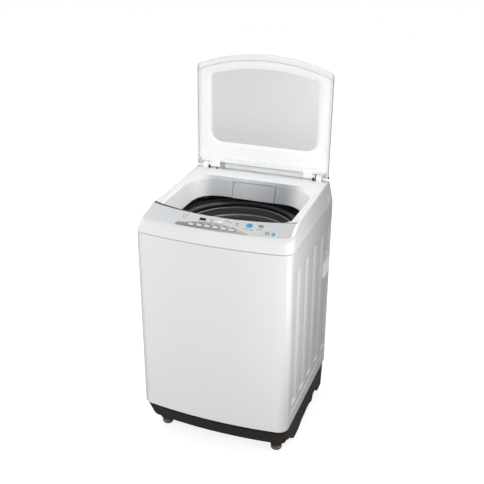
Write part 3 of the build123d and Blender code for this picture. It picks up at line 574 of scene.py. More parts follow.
def addPiece(name, points, closed=True):  # a ring primitive set on an outline, in edit mode
    bpy.ops.object.select_all(action="DESELECT")
    bpy.ops.mesh.primitive_circle_add(vertices=len(points), radius=1)
    piece = bpy.context.object
    piece.name = piece.data.name = name
    for vertex, point in zip(piece.data.vertices, points):
        vertex.co = point
    if not closed:
        last = len(points) - 1
        pick(piece, "EDGE", lambda edge: sorted(vertex.index for vertex in edge.verts) == [0, last])
        bpy.ops.mesh.delete(type="EDGE")
    bpy.ops.object.mode_set(mode="EDIT")
    bpy.ops.mesh.select_mode(type="EDGE")
    bpy.ops.mesh.select_all(action="SELECT")
    return piece


def latheProfile(name, profile, steps, closed=True):  # spins (radius, height) points
    piece = addPiece(name, [(radius, 0, height) for radius, height in profile], closed)
    bpy.ops.mesh.spin(steps=steps, angle=2 * pi, center=(0, 0, 0), axis=(0, 0, 1))
    closeMesh()
    return piece


def pullTo(piece, before, after):  # extrudes the open ring and sets it on the next outline
    finder = kdtree.KDTree(len(before))
    for index, point in enumerate(before):
        finder.insert(point, index)
    finder.balance()
    bpy.ops.mesh.extrude_edges_move()
    work = bmesh.from_edit_mesh(piece.data)
    for vertex in [vertex for vertex in work.verts if vertex.select]:
        vertex.co = after[finder.find(vertex.co)[1]]
    bmesh.update_edit_mesh(piece.data)


def loftRings(name, rings, joined=False, capped=False):
    piece = addPiece(name, rings[0])
    if capped:
        bpy.ops.mesh.edge_face_add()
    for before, after in zip(rings, rings[1:] + rings[:1] * joined):
        pullTo(piece, before, after)
    if capped:
        bpy.ops.mesh.edge_face_add()
    closeMesh()
    return piece


def closeMesh():  # merges what meets and turns the faces outwards, from edit mode
    bpy.ops.mesh.select_all(action="SELECT")
    bpy.ops.mesh.remove_doubles(threshold=limits["merge"])
    bpy.ops.mesh.normals_make_consistent(inside=False)
    bpy.ops.mesh.select_all(action="DESELECT")
    bpy.ops.object.mode_set(mode="OBJECT")


def pick(piece, kind, test):  # edit mode, with the faces or the edges that pass the test selected
    bpy.ops.object.mode_set(mode="EDIT")
    bpy.ops.mesh.select_mode(type=kind)
    bpy.ops.mesh.select_all(action="DESELECT")
    work = bmesh.from_edit_mesh(piece.data)
    for part in work.faces if kind == "FACE" else work.edges:
        part.select_set(test(part))
    bmesh.update_edit_mesh(piece.data)


def applyModifier(piece, kind, **settings):
    made = piece.modifiers.new(kind.lower(), kind)
    for key, value in settings.items():
        setattr(made, key, value)
    bpy.context.view_layer.objects.active = piece
    bpy.ops.object.modifier_apply(modifier=made.name)


def makeActive(piece):
    bpy.ops.object.select_all(action="DESELECT")
    piece.select_set(True)
    bpy.context.view_layer.objects.active = piece


def finishPiece(piece, body, slot, *replaced, angle=35):
    makeActive(piece)
    bpy.ops.object.shade_smooth_by_angle(angle=radians(angle))
    applyModifier(piece, "WEIGHTED_NORMAL", keep_sharp=True)
    piece.data.materials.clear()
    piece.data.materials.append(own.get(replaced[0] if replaced else piece.name, finishes[slot]))
    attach(piece, body)
    if replaced:
        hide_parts(*replaced)
    print("piece:", piece.name, len(piece.data.polygons), "faces")


def addTrim(name, rings, body, slot, *replaced):  # a small closed piece, lofted from end to end
    finishPiece(loftRings(name, rings, capped=True), body, slot, *replaced, angle=40)


def roundedSteps(start, end, edge):  # places across a bar and how far its rings shrink, for rounded ends
    step = copysign(edge, end - start)
    return (start, edge), (start + step, 0), (end - step, 0), (end, edge)


def softCopy(node, width):  # a copy of a CAD node with its edges rounded
    source = nodes[node]
    piece = source.copy()
    piece.data = source.data.copy()
    piece.name = piece.data.name = "soft_" + node
    bpy.context.scene.collection.objects.link(piece)
    makeActive(piece)
    bpy.ops.object.mode_set(mode="EDIT")
    bpy.ops.mesh.select_all(action="SELECT")
    bpy.ops.mesh.remove_doubles(threshold=limits["merge"])
    bpy.ops.mesh.dissolve_limited(angle_limit=limits["flat"])
    bpy.ops.object.mode_set(mode="OBJECT")
    bevel = {"segments": limits["bevelSteps"], "limit_method": "ANGLE", "angle_limit": limits["sharp"]}
    applyModifier(piece, "BEVEL", width=width, **bevel)
    return piece


def arcPoints(across, along, radius, start, sweep, steps, ends=0):  # with ends=1 the last point is there too
    turns = [start + sweep * index / steps for index in range(steps + ends)]
    return [(across + radius * cos(turn), along + radius * sin(turn)) for turn in turns]


# an outline with straight sides, a low edge and an arched far edge, as points (across, along)
outlineSteps = {"arch": 28, "corner": 7}


def archLine(half, low, high, arch, archCorner, lowCorner, side, lowSide):
    steps, cornerSteps = outlineSteps["arch"], outlineSteps["corner"]
    hub = high - arch
    bend = hub + sqrt((arch - archCorner) ** 2 - (half - archCorner) ** 2)
    reach = atan2(bend - hub, half - archCorner)
    start = low + lowCorner
    if isinstance(side, int):
        side = [start + (bend - start) * index / side for index in range(1, side)]
    quarter = pi / 2
    return [
        *[(half, along) for along in (start, *side)],
        *arcPoints(half - archCorner, bend, archCorner, 0, reach, cornerSteps),
        *arcPoints(0, hub, arch, reach, pi - 2 * reach, steps),
        *arcPoints(archCorner - half, bend, archCorner, pi - reach, reach, cornerSteps),
        *[(-half, along) for along in (bend, *reversed(side))],
        *arcPoints(lowCorner - half, start, lowCorner, pi, quarter, cornerSteps),
        (lowCorner - half, low), *lowSide,
        *arcPoints(half - lowCorner, start, lowCorner, 3 * quarter, quarter, cornerSteps),
    ]


def bowArch(half, bow):  # radius of an arch that stands out by bow over its width
    return (half**2 + bow**2) / (2 * bow)


def planRing(outline, height):  # an outline seen from above, its arch to the front
    return [(x, -along, height(x, -along) if callable(height) else height) for x, along in outline]


# the cabinet's sheet
def ribStops(index):  # along the side: front edge, floor, floor, rear edge
    middle = wrap["ribFirst"] + index * wrap["ribPitch"]
    near, far = middle - wrap["ribWidth"] / 2, middle + wrap["ribWidth"] / 2
    return near, near + wrap["ribFall"], far - wrap["ribRise"], far


def wrapRing(height, inset, field=0.0, rib=0.0, lastRib=0.0):
    floors, stops = {}, list(wrap["gripY"])
    for index in range(wrap["ribs"]):
        edges = ribStops(index)
        floors.update(dict.fromkeys(edges[1:3], rib if index < wrap["ribs"] - 1 else lastRib))
        stops += edges
    half, rear = wrap["half"] - inset, inset - wrap["rear"]
    outline = archLine(
        half, rear, -wrap["front"] - inset, bowArch(wrap["half"], wrap["bow"]) - inset, wrap["corner"] - inset,
        max(wrap["rearCorner"] - inset, 0.0005), [-stop for stop in sorted(stops, reverse=True)],
        [(-wrap["windowHalf"], rear), (wrap["windowHalf"], rear)],
    )
    ring = []
    for x, along in outline:
        onSide = abs(abs(x) - half) < 1e-9
        sunk = field + floors.get(-along, 0.0) if onSide else 0.0
        ring.append((x - copysign(sunk, x), along))
    return planRing(ring, height)


def makeCabinet():
    low, high, edge, rim = wrap["low"], wrap["high"], wrap["edge"], wrap["gripRim"]
    sunk, deep, end, soft = wrap["fieldDepth"], wrap["ribDepth"], wrap["ribEnd"], wrap["fieldEdge"]
    gripLow, gripHigh = wrap["gripZ"]
    levels = [
        (low, wrap["flange"]), (low, edge), (low + edge, 0), (wrap["windowZ"][0], 0),
        (wrap["fieldLow"] - soft, 0), (wrap["fieldLow"] + soft, 0, sunk), (wrap["ribLow"], 0, sunk),
        (wrap["ribLow"] + end, 0, sunk, deep, deep), (gripLow - rim - end, 0, sunk, deep, deep),
        (gripLow - rim, 0, sunk, deep, 0), (gripLow, 0, sunk, deep, 0), (gripHigh, 0, sunk, deep, 0),
        (gripHigh + rim, 0, sunk, deep, 0), (gripHigh + rim + end, 0, sunk, deep, deep),
        (wrap["ribHigh"] - end, 0, sunk, deep, deep), (wrap["ribHigh"], 0, sunk),
        (wrap["fieldHigh"] - soft, 0, sunk), (wrap["fieldHigh"] + soft, 0), (wrap["windowZ"][1], 0),
        (high - edge, 0), (high, edge), (high, wrap["flange"]),
    ]
    piece = loftRings("cabinetWrap", [wrapRing(*level) for level in levels])

    def isOpening(face):  # the grips' holes and the window at the rear
        spot = face.calc_center_median()
        sides = wrap["gripY"][0] < spot.y < wrap["gripY"][1] and gripLow < spot.z < gripHigh
        rear = abs(spot.x) < wrap["windowHalf"] and wrap["windowZ"][0] < spot.z < wrap["windowZ"][1]
        return (sides and abs(spot.x) > wrap["half"] - 0.005) or (rear and spot.y > wrap["rear"] - 0.001)

    pick(piece, "FACE", isOpening)
    bpy.ops.mesh.delete(type="FACE")
    bpy.ops.object.mode_set(mode="OBJECT")
    applyModifier(piece, "SOLIDIFY", thickness=wrap["sheet"], offset=-1)
    finishPiece(piece, "cabinet_body", "white_paint", "cabinet", angle=24)


makeCabinet()


# top cover: tapered walls, the panel's cone, the deck and the funnel, as one closed shell
cover = {
    "low": 0.8007, "edge": 0.0016, "wall": 0.005, "rear": 0.2606, "rearCorner": 0.008,
    "sideTaper": 0.208, "frontTaper": 0.733, "cornerTaper": 0.1, "wallReach": 0.1, "sideSteps": 12,
    "rimRound": 0.003, "panelDrop": 0.0008, "rollStart": -0.135, "rollSpan": 0.05, "rollTight": 0.25,
    "roll": ((0, 0), (0.3, 0.0006), (0.6, 0.0024), (0.85, 0.0052), (1.0, 0.0085)),
    "lidHalf": 0.2515, "lidFront": -0.1675, "lidRear": 0.255, "lidBow": 0.045, "lidCorner": 0.01,
    "lidRearCorner": 0.006, "lineRise": 0.002, "grooveLip": 0.0003, "grooveFade": (-0.09, 0.03),
    "arch": 0.71694, "archHub": 0.55094, "archHeight": 0.862, "slope": 0.348,
    "deckFront": 0.86, "deckY": -0.166, "deckTilt": 2.0, "grooveDepth": 0.006, "grooveWidth": 0.0025,
    "mouth": (0.235, 0.161, 0.187, 0.03, 0.092, 0.042), "foot": (0.201, 0.15, 0.155, 0.045, 0.082, 0.042),
    "mouthZ": 0.88, "footZ": 0.803, "funnelWall": 0.003, "seam": 0.8,
    "drawerTop": 0.8575, "drawerHalf": 0.081, "drawerY": (0.15, 0.2),
}


def deckHeight(x, y):
    return cover["deckFront"] + tan(radians(cover["deckTilt"])) * (y - cover["deckY"])


def coneHeight(x, y):
    return cover["archHeight"] + (cover["arch"] - hypot(x, y - cover["archHub"])) * cover["slope"]


def topHeight(x, y):
    if hypot(x, y - cover["archHub"]) < cover["arch"]:
        return deckHeight(x, y)
    return coneHeight(x, y) - cover["panelDrop"]


def rearStops(rear):
    return [(-cover["drawerHalf"], -rear), (cover["drawerHalf"], -rear)]


def wallOutline(rise, inset):
    half = wrap["half"] - inset - cover["sideTaper"] * rise
    front = wrap["front"] + inset + cover["frontTaper"] * rise
    rear = cover["rear"] - inset
    return archLine(
        half, -rear, -front, bowArch(half, wrap["bow"]), wrap["corner"] - inset + cover["cornerTaper"] * rise,
        max(cover["rearCorner"] - inset, 0.002), cover["sideSteps"], rearStops(rear),
    )


def wallTop(inset, drop):  # where the leaning wall meets the cone or the deck
    ring, reach = [], cover["wallReach"]
    for (x0, along0), (x1, along1) in zip(wallOutline(0, inset), wallOutline(reach, inset)):
        low, high = 0.0, 1.0
        for _ in range(24):
            share = (low + high) / 2
            x, y = x0 + (x1 - x0) * share, -along0 - (along1 - along0) * share
            above = cover["seam"] + reach * share > topHeight(x, y) - drop
            low, high = (low, share) if above else (share, high)
        ring.append((x, y, cover["seam"] + reach * share))
    return ring


def lidLineOutline(inset):
    half, rear = cover["lidHalf"] - inset, cover["lidRear"] - inset
    front = -cover["lidFront"] - inset
    arch = bowArch(half, cover["lidBow"])
    corners = cover["lidCorner"], cover["lidRearCorner"]
    return archLine(half, -rear, front, arch, *corners, cover["sideSteps"], rearStops(rear))


def funnelRing(height, grow):
    share = (height - cover["footZ"]) / (cover["mouthZ"] - cover["footZ"]) if not callable(height) else 1.0
    half, front, rear, corner, rearCorner, bow = (
        foot + (mouth - foot) * share for foot, mouth in zip(cover["foot"], cover["mouth"])
    )
    half, front, rear = half + grow, front + grow, rear + grow
    arch, corners = bowArch(half, bow), (corner + grow, rearCorner + grow)
    return planRing(archLine(half, -rear, front, arch, *corners, cover["sideSteps"], rearStops(rear)), height)


def grooveRing(inset, drop):  # the lid's front gap: deep along the panel, none at the sides
    def height(x, y):
        start, span = cover["grooveFade"]
        fade = min(1.0, max(0.0, (start - y) / span))
        return min(topHeight(x, y), deckHeight(x, y) + cover["lineRise"]) - drop * fade

    return planRing(lidLineOutline(inset), height)


def rolled(y):  # how far the mouth's edge is rolled: none along the panel, all of it further back
    share = min(1.0, max(0.0, (y - cover["rollStart"]) / cover["rollSpan"]))
    return share * share * (3 - 2 * share)


def rollRing(along, drop):  # a ring between the lid line and the mouth
    inner = funnelRing(deckHeight, 0)
    outer = planRing(lidLineOutline(cover["grooveWidth"] + cover["grooveLip"]), deckHeight)
    ring = []
    for (x0, y0, _), (x1, y1, _) in zip(outer, inner):
        x, y = x0 + (x1 - x0) * along, y0 + (y1 - y0) * along
        share = cover["rollTight"] + (1 - cover["rollTight"]) * rolled(y)
        ring.append((x, y, deckHeight(x, y) - drop * share))
    return ring


def lidLineHeight(x, y):  # the panel's cone, but only a little over the deck
    return min(coneHeight(x, y) - cover["panelDrop"], deckHeight(x, y) + cover["lineRise"])


def rounded(point):
    return tuple(round(part, 4) for part in point)


def makeCover():
    low, edge, wall, thick = (cover[key] for key in ("low", "edge", "wall", "funnelWall"))
    rings = [
        planRing(wallOutline(0, wall), low),
        planRing(wallOutline(0, edge), low),
        planRing(wallOutline(0, 0), low + edge),
        wallTop(0, 0),
        planRing(lidLineOutline(0), lidLineHeight),
        grooveRing(cover["grooveLip"], cover["grooveDepth"]),
        grooveRing(cover["grooveWidth"], cover["grooveDepth"]),
        *[rollRing(along, drop) for along, drop in cover["roll"]],
        funnelRing(cover["drawerTop"], 0),
        funnelRing(cover["footZ"], 0),
        funnelRing(cover["footZ"] - thick / 2, thick),
        funnelRing(cover["drawerTop"], thick),
        funnelRing(lambda x, y: deckHeight(x, y) - 0.012, thick),
        wallTop(wall, 0.008),
    ]
    piece = loftRings("topCover", rings, joined=True)
    rim = {rounded(point) for point in rings[3]}

    def isDrawer(face):
        spot = face.calc_center_median()
        near, far = cover["drawerY"]
        inside = abs(spot.x) < cover["drawerHalf"] - 0.001 and spot.z < cover["drawerTop"]
        return inside and near < spot.y < far

    pick(piece, "FACE", isDrawer)
    bpy.ops.mesh.delete(type="FACE")
    bpy.ops.object.mode_set(mode="OBJECT")
    pick(piece, "EDGE", lambda edge: all(rounded(end.co) in rim for end in edge.verts))
    bpy.ops.mesh.bevel(offset=cover["rimRound"], segments=5, affect="EDGES", clamp_overlap=True)
    bpy.ops.object.mode_set(mode="OBJECT")
    finishPiece(piece, "cabinet_body", "white_plastic", "top_cover", angle=32)


makeCover()


# white oval plugs on the cover's sides
plugs = {
    "y": 0.2077, "z": 0.826, "halfY": 0.0042, "halfZ": 0.011, "steps": 24,
    "dome": ((1, -0.0005), (1, 0.0006), (0.8, 0.0011), (0.4, 0.0013)),
}


def plugRing(side, share, rise):
    ring = []
    for index in range(plugs["steps"]):
        turn = 2 * pi * index / plugs["steps"]
        y = plugs["y"] + plugs["halfY"] * share * cos(turn)
        z = plugs["z"] + plugs["halfZ"] * share * sin(turn)
        ring.append((side * (wrap["half"] - cover["sideTaper"] * (z - cover["seam"]) + rise), y, z))
    return ring


def makePlugs():
    for side, name in ((-1, "plugLeft"), (1, "plugRight")):
        addTrim(name, [plugRing(side, *step) for step in plugs["dome"]], "cabinet_body", "white_plastic")


makePlugs()


# dark strips that paint the shade in the gap behind the panel: the left one stands taller than the right one
gapShades = {  # runs as name, start, end, height at the start and at the end
    "gap": 0.0004, "width": 0.0016, "low": 0.004, "steps": 14, "runs": (
        ("sealLeft", -0.251, -0.112, 0.0046, 0.003), ("gapShadeRight", 0.2475, 0.16, 0.0008, 0.0004),
    ),
}


def gapShadeRing(x, rise):
    reach = cover["arch"] - gapShades["gap"]
    near, far = (cover["archHub"] - sqrt(radius**2 - x**2) for radius in (reach, reach - gapShades["width"]))
    corners = ((near, -gapShades["low"]), (near, rise), (far, rise), (far, -gapShades["low"]))
    return [(x, y, deckHeight(x, y) + lift) for y, lift in corners]


def makeGapShades():
    for name, start, end, high, low in gapShades["runs"]:
        shares = [index / gapShades["steps"] for index in range(gapShades["steps"] + 1)]
        rings = [gapShadeRing(start + (end - start) * share, high + (low - high) * share) for share in shares]
        addTrim(name, rings, "cabinet_body", "bumper_rubber")


makeGapShades()


# lid, drawn in its own plane: across, along from the hinge to the curved edge, level towards its outside
lid = {
    "hinge": (0.25, 0.888), "lean": 1.5, "half": 0.25, "low": -0.004, "reach": 0.4142, "arch": 0.71494,
    "corner": 0.024, "lowCorner": 0.003, "outside": 0.0105, "inside": -0.0115, "plate": 0.0075,
    "skirt": 0.003, "notchHalf": 0.231, "notch": 0.0125,
    "belt": (0.238, 0.022), "beltStops": (0.012, 0.002), "beltCorner": 0.0015,
    "window": (0.204, 0.088, 0.362, 0.026, 0.046), "windowShift": 0.004,
    "frameLow": 0.013, "frameCorner": 0.02, "ledge": 0.0025, "plateau": (0.2375, 0.03, 0.3905, 0.022, 0.012),
    "lip": -0.0068, "step": -0.0012, "dish": 0.013,
    "armInner": 0.16, "armOuter": (0.1985, 0.194), "armRadius": 0.011, "armTop": 0.024, "armEdge": 0.0012,
}


def lidPoint(across, along, level):
    lean = radians(lid["lean"])
    y = lid["hinge"][0] + along * sin(lean) + level * cos(lean)
    return across, y, lid["hinge"][1] + along * cos(lean) - level * sin(lean)


def lidRing(half, low, reach, corner, lowCorner, level, lowSide=None):
    lowSide = lowSide or [(share * half, low) for share in (-0.6, -0.25, 0.25, 0.6)]
    outline = archLine(half, low, reach, lid["arch"], corner, lowCorner, 8, lowSide)
    return [lidPoint(across, along, level) for across, along in outline]


def shellRing(inset, level):
    half, low, notch = lid["notchHalf"] + inset, lid["low"] + inset, lid["notch"] + inset
    lowSide = [(-half, low), (-half, notch), (half, notch), (half, low)]
    reach, corner = lid["reach"] - inset, lid["corner"] - inset
    return lidRing(lid["half"] - inset, low, reach, corner, lid["lowCorner"], level, lowSide)


def windowRing(grow, level):
    half, low, reach, corner, lowCorner = lid["window"]
    ring = lidRing(half + grow, low - grow, reach + grow, corner + grow, lowCorner + grow, level)
    return [(x + lid["windowShift"], y, z) for x, y, z in ring]


def plateauRing(inset, level):
    half, low, reach, corner, lowCorner = lid["plateau"]
    return lidRing(half - inset, low + inset, reach - inset, corner, max(lowCorner - inset, 0.004), level)


def beltRing(level):  # between the window and the notched edge
    half, low = lid["belt"]
    reach, corner = lid["reach"] - lid["half"] + half, lid["corner"] - lid["half"] + half
    near, far = (half - past for past in lid["beltStops"])
    lowSide = [(across, low) for across in (-far, -near, near, far)]
    return lidRing(half, low, reach, corner, lid["beltCorner"], level, lowSide)


def makeLidShell():
    outside, inside, plate = lid["outside"], lid["inside"], lid["plate"]
    rings = [
        beltRing(plate), windowRing(0.002, plate), windowRing(0.002, outside - 0.0006),
        windowRing(0.0028, outside), beltRing(outside), shellRing(0.0035, outside),
        shellRing(0.0012, outside - 0.0008), shellRing(0, outside - 0.003), shellRing(0, inside + 0.001),
        shellRing(0.0008, inside), shellRing(0.0024, inside),
        shellRing(lid["skirt"], inside + 0.001), shellRing(lid["skirt"], plate),
    ]
    piece = loftRings("lidShell", rings, joined=True)
    finishPiece(piece, "lid", "white_plastic", "lid_shell", angle=40)


def makeLidFrame():
    edge, ledge, lip, step = lid["skirt"] + 0.0004, lid["ledge"], lid["lip"], lid["step"]

    def frameRing(inset, level):
        half, reach = lid["half"] - edge - inset, lid["reach"] - edge - inset
        return lidRing(half, lid["frameLow"] + inset, reach, lid["frameCorner"], lid["lowCorner"], level)

    rings = [
        windowRing(0, ledge), frameRing(0, ledge), frameRing(0, -0.0006), frameRing(0.0008, -0.0014),
        plateauRing(-0.0045, lip + 0.0016), plateauRing(-0.0025, lip + 0.0004), plateauRing(-0.0008, lip),
        plateauRing(0, lip + 0.0006), plateauRing(0.0006, step),
        plateauRing(0.0085, step), plateauRing(0.0093, step + 0.0006), plateauRing(0.0101, step),
        windowRing(lid["dish"], step), windowRing(lid["dish"] - 0.0025, step + 0.0004),
        windowRing(0.0015, 0.0006), windowRing(0, 0.0014),
    ]
    piece = loftRings("lidFrame", rings, joined=True)
    finishPiece(piece, "lid", "white_plastic", "lid_inner_frame", angle=24)


# hinge arms: a knuckle about the pin that runs up into the lid's frame
def armRing(across, shrink):
    radius, top, front = lid["armRadius"] - shrink, lid["armTop"] - shrink, lid["ledge"] - shrink
    points = arcPoints(0, 0, radius, pi, pi, 10, 1)
    points += [(front + 0.004, 0.01), (front, top), (0.004 - radius, top)]
    return [lidPoint(across, along, level) for level, along in points]


def makeLidArms():
    for side, name, reach in zip((-1, 1), ("lidArmLeft", "lidArmRight"), lid["armOuter"]):
        steps = roundedSteps(side * lid["armInner"], side * reach, lid["armEdge"])
        addTrim(name, [armRing(*step) for step in steps], "lid", "white_plastic")


# hinge bar: a grey tube between the arms with a boss at its left end, as distance from that end and radius
hingeBar = {
    "gap": 0.0005, "radius": 0.01, "steps": 32, "end": (0.002, 0.0015), "boss": (
        (0, 0.0095), (0.0015, 0.0112), (0.0175, 0.0112), (0.0195, 0.0096), (0.021, 0.0094), (0.0225, 0.01),
    ),
}


def barRing(across, radius):
    circle = arcPoints(0, 0, radius, 0, 2 * pi, hingeBar["steps"])
    return [lidPoint(across, along, level) for level, along in circle]


def makeHingeBar():
    end, radius = lid["armInner"] - hingeBar["gap"], hingeBar["radius"]
    back, shrink = hingeBar["end"]
    steps = [(past - end, wide) for past, wide in hingeBar["boss"]]
    steps += [(end - back, radius), (end, radius - shrink)]
    addTrim("hingeBar", [barRing(*step) for step in steps], "lid", "bar_grey", "lid_hinge_bar")


# ears of the cover that hold the hinge pins
ears = {
    "inner": 0.207, "outer": 0.228, "radius": 0.01, "foot": 0.868, "heel": 0.009,
    "flare": 0.0015, "edge": 0.0012,
}


def earRing(across, shrink, spread=ears["flare"]):
    radius, low = ears["radius"] - shrink, ears["foot"]
    y, z = lid["hinge"]
    front = y - (radius + spread)
    points = arcPoints(y, z, radius, 0, pi, 12, 1)
    points += [(front, low + ears["heel"]), (front, low), (y + radius, low)]
    return [(across, *point) for point in points]


def makeEars():
    for side, name in ((-1, "hingeEarLeft"), (1, "hingeEarRight")):
        steps = roundedSteps(side * ears["inner"], side * ears["outer"], ears["edge"])
        addTrim(name, [earRing(*step) for step in steps], "cabinet_body", "white_plastic")


# white collars between the arms and the ears, dark blocks of painted shade at their feet, a dark band of
# painted shade round the right ear and the pins' end caps
collars = {
    "steps": ((0, 0.0088), (0.12, 0.0098), (0.88, 0.0098), (1, 0.0088)),
    "spans": (("collarLeft", -0.2066, -0.199), ("collarRight", 0.1945, 0.204)),
}
hingeShades = {
    "low": 0.8725, "rear": 0.2412, "round": 0.0012, "edge": 0.0005, "blocks": (
        ("hingeShadeLeft", -0.2055, -0.199, 0.2392, 0.8865), ("hingeShadeSmall", -0.176, -0.17, 0.2385, 0.8778),
        ("hingeShadeRight", 0.1945, 0.2012, 0.2392, 0.8865),
    ),
}
earShade = {"inner": 0.2042, "outer": 0.2067, "grow": 0.0014, "edge": 0.0004}
pinCaps = {"steps": ((0.2502, 0.0036), (0.2532, 0.0036), (0.2545, 0.0022))}


def hingeShadeRing(across, front, high, shrink):
    low, rear, bend = hingeShades["low"], hingeShades["rear"], hingeShades["round"]
    front, high = front + shrink, high - shrink
    points = [(rear, low), (front, low), (front, high - bend), (front + bend / 3, high - bend / 3)]
    points += [(front + bend, high), (rear, high)]
    return [(across, y, z) for y, z in points]


def makeHingeTrim():
    for name, start, end in collars["spans"]:
        rings = [barRing(start + (end - start) * share, radius) for share, radius in collars["steps"]]
        addTrim(name, rings, "cabinet_body", "white_plastic")
    # dark blocks that paint the shade at the hinges' feet
    for name, start, end, front, high in hingeShades["blocks"]:
        steps = roundedSteps(start, end, hingeShades["edge"])
        rings = [hingeShadeRing(across, front, high, shrink) for across, shrink in steps]
        addTrim(name, rings, "cabinet_body", "black_plastic")
    # a dark band that paints the shade round the right ear's top
    steps = roundedSteps(earShade["inner"], earShade["outer"], earShade["edge"])
    rings = [earRing(across, shrink - earShade["grow"], 0) for across, shrink in steps]
    addTrim("earShadeBand", rings, "cabinet_body", "black_plastic")
    for side, name in ((-1, "pinCapLeft"), (1, "pinCapRight")):
        rings = [barRing(side * across, radius) for across, radius in pinCaps["steps"]]
        addTrim(name, rings, "lid", "black_plastic")


makeEars()
makeHingeTrim()
makeLidShell()
makeLidFrame()
makeLidArms()
makeHingeBar()


# basket: a beaded steel wall with rows of holes
basket = {
    "radius": 0.1975, "low": 0.313, "high": 0.758, "sheet": 0.0012, "bead": 0.0028, "steps": 120,
    "beads": (0.722, 0.692, 0.372, 0.345), "beadHalf": 0.008, "rows": 18, "rowLow": 0.395, "rowHigh": 0.668,
    "every": 4, "rim": 0.0042, "rimLift": 0.002, "hole": 0.0032,
}
rowPitch = (basket["rowHigh"] - basket["rowLow"]) / basket["rows"]


def wallProfile():
    points = [(basket["radius"], basket["low"])]
    for middle in sorted(basket["beads"]):
        if middle > basket["rowHigh"] and points[-1][1] < basket["rowLow"]:
            points += rowStops()
        for index in range(9):
            share = index / 4 - 1
            bulge = basket["bead"] * (1 + cos(pi * share)) / 2
            points.append((basket["radius"] - bulge, middle + share * basket["beadHalf"]))
    roll, middle = basket["rim"] / 2, basket["high"] - basket["rim"] + basket["rimLift"]
    return points + arcPoints(basket["radius"] - roll, middle, roll, 0, pi, 6, 1)


def rowStops():
    return [(basket["radius"], basket["rowLow"] + index * rowPitch) for index in range(basket["rows"] + 1)]


def isDrumHole(face):
    spot = face.calc_center_median()
    row = (spot.z - basket["rowLow"]) / rowPitch
    if not 0 < row < basket["rows"] or int(row) % 2:
        return False
    column = int((atan2(spot.y, spot.x) / (2 * pi) % 1) * basket["steps"])
    return (column + int(row)) % basket["every"] == 0


def makeBasket():
    piece = latheProfile("basketWall", wallProfile(), basket["steps"], closed=False)
    pick(piece, "FACE", isDrumHole)
    bpy.ops.mesh.inset(thickness=basket["hole"], use_individual=True)
    bpy.ops.mesh.delete(type="FACE")
    bpy.ops.object.mode_set(mode="OBJECT")
    applyModifier(piece, "SOLIDIFY", thickness=basket["sheet"], offset=0)
    finishPiece(piece, "basket", "drum_steel", "basket_wall", angle=50)


# balance ring and tub ring: moulded hoops round the basket's mouth
hoops = {
    "steps": 128,
    "balance": [
        (0.2, 0.7625), (0.2, 0.7685), (0.2006, 0.7712), (0.2022, 0.7735), (0.2046, 0.7748),
        (0.2072, 0.775), (0.214, 0.775), (0.2158, 0.7742), (0.2168, 0.7725), (0.217, 0.77),
        (0.217, 0.716), (0.2155, 0.7125), (0.2035, 0.7125), (0.2035, 0.7625),
    ],
    "tub": [
        (0.221, 0.769), (0.221, 0.7775), (0.2218, 0.78), (0.224, 0.7815), (0.227, 0.782),
        (0.235, 0.782), (0.2385, 0.7812), (0.2402, 0.7792), (0.241, 0.776), (0.241, 0.769),
    ],
}


def makeHoops():
    piece = latheProfile("balanceHoop", hoops["balance"], hoops["steps"])
    finishPiece(piece, "basket", "ring_grey", "balance_ring")
    piece = latheProfile("tubHoop", hoops["tub"], hoops["steps"])
    finishPiece(piece, "tub", "black_plastic", "tub_cover")


makeBasket()
makeHoops()


# CAD pieces that keep their form, with their edges rounded
soft = {
    "base_frame": 0.0018, "side_handle_left": 0.0012, "side_handle_right": 0.0012, "front_foot_left": 0.0006,
    "front_foot_right": 0.0006, "rear_feet": 0.0006, "detergent_drawer": 0.0009, "control_panel": 0.0004,
    "rear_panel": 0.0005, "inlet_valve": 0.0012, "cord_gland": 0.0006, "drain_collar": 0.0008,
    "lint_filter": 0.001, "pulsator": 0.0015, "pulsator_cap": 0.001, "motor": 0.002, "gearbox": 0.0015,
    "drive_pulley": 0.0006, "drawer_housing": 0.0005, "support_plate": 0.0006, "suspension_cups": 0.001,
    "corner_brackets": 0.0006, "drain_valve": 0.001, "capacitor": 0.002,
}
# hidden pieces pressed in: axis, limit, move
pressed = {"drawer_housing": (2, 0.862, -0.0072), "capacitor": (0, -0.25, 0.007)}


def pressIn(piece, axis, limit, move):  # keeps a hidden piece behind the skins drawn here
    pick(piece, "EDGE", lambda edge: all((end.co[axis] - limit) * move < 0 for end in edge.verts))
    bpy.ops.transform.translate(value=[move if index == axis else 0 for index in range(3)])
    bpy.ops.object.mode_set(mode="OBJECT")


def makeSoftCopies():
    slots = {entry["node"]: entry["material_slot"] for entry in frame["record"]["subparts"]}
    for node, width in soft.items():
        piece = softCopy(node, width)
        if node in pressed:
            pressIn(piece, *pressed[node])
        finishPiece(piece, body_of(nodes[node])[0], slots[node], node)


makeSoftCopies()


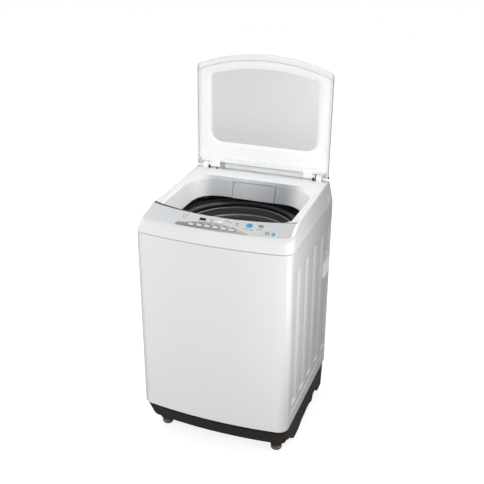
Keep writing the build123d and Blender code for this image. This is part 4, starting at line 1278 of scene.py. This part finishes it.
# floor and lights: each lamp as place, aim, power, size and spread; glossy pieces don't mirror the matt ones
studio = {
    "floor": 0.35, "floorSize": 16, "lift": 0.8, "far": (0.7, 1.6), "fill": 0.4,
    "glint": 1.7, "dim": 0.12, "softbox": (0.35, 0.65), "matt": ("key", "top"),
    "lamps": {
        "key": ((-0.3, -2.2, 2.6), (0, 0.1, 1.0), 11.0, (1.6, 1.6)),
        "front": ((-0.2, -3.3, 1.0), (0, 0, 0.6), 38.5, (1.6, 1.6)),
        "left": ((-1.0, -0.8, 0.8), (-0.1, -0.2, 0.65), 3.0, (0.5, 0.7)),
        "top": ((0.28, 0.25, 3.1), (0, 0, 0.8), 26.0, (2.0, 2.0)),
        "drum": ((0.7, 0.06, 2.0), (-0.14, 0.1, 0.74), 0.055, (0.14, 0.14), 30),
        "side": ((0.68, -0.32, 0.7), (0.2, -0.32, 0.7), 2.8, (0.35, 0.9)),
        "back": ((-1.9, 2.0, 1.3), (0, 0.2, 0.6), 24.0, (1.6, 1.6)),
    },
}


def addLamp(name, place, aim, power, size, spread=180):
    lamp = bpy.data.lights.new(name, "AREA")
    lamp.energy = power
    lamp.shape = "ELLIPSE"
    lamp.size, lamp.size_y = size
    lamp.spread = radians(spread)
    holder = bpy.data.objects.new(name, lamp)
    holder.visible_camera = False
    holder.visible_glossy = name not in studio["matt"]
    bpy.context.scene.collection.objects.link(holder)
    turn = (Vector(aim) - Vector(place)).to_track_quat("-Z", "Y")
    holder.matrix_world = Matrix.Translation(place) @ turn.to_matrix().to_4x4()


def addFloor():
    bpy.ops.object.select_all(action="DESELECT")
    bpy.ops.mesh.primitive_plane_add(size=studio["floorSize"])
    floor = bpy.context.object
    floor.name = "floor"
    paper = Finish("paper", (studio["floor"],) * 3, 0.9, Emission_Strength=1.0)
    x, y = paper.axes("XY")
    far = paper.ramp((x * x + y * y) ** 0.5, *studio["far"])
    seen = paper.add("ShaderNodeLightPath", {}, {}, "Is Camera Ray")
    paper.put("Emission Color", paper.mix(seen, (0, 0, 0), paper.mix(far, (studio["lift"],) * 3, (1, 1, 1))))
    floor.data.materials.append(paper.material)


def addWorld():
    world = bpy.data.worlds.new("studio")
    bpy.context.scene.world = world
    world.use_nodes = True
    sky = Nodes(world.node_tree, "Background")
    seen = sky.add("ShaderNodeLightPath", {}, {}, "Is Camera Ray")
    mirrored = sky.add("ShaderNodeLightPath", {}, {}, "Is Glossy Ray")
    fill = (studio["fill"],) * 3
    heading = sky.add("ShaderNodeTexCoord", {}, {}, "Generated")
    across = abs(sky.add("ShaderNodeSeparateXYZ", {}, [heading], "X"))
    boxes = sky.mix(sky.ramp(across, *studio["softbox"]), (studio["dim"],) * 3, (studio["glint"],) * 3)
    sky.put("Color", sky.mix(seen, sky.mix(mirrored, fill, boxes), (1, 1, 1)))


def addStudio():
    addFloor()
    addWorld()
    for name, lamp in studio["lamps"].items():
        addLamp(name, *lamp)


addStudio()
print("studio:", len(studio["lamps"]), "lamps")
bpy.context.scene.view_settings.view_transform = "Standard"
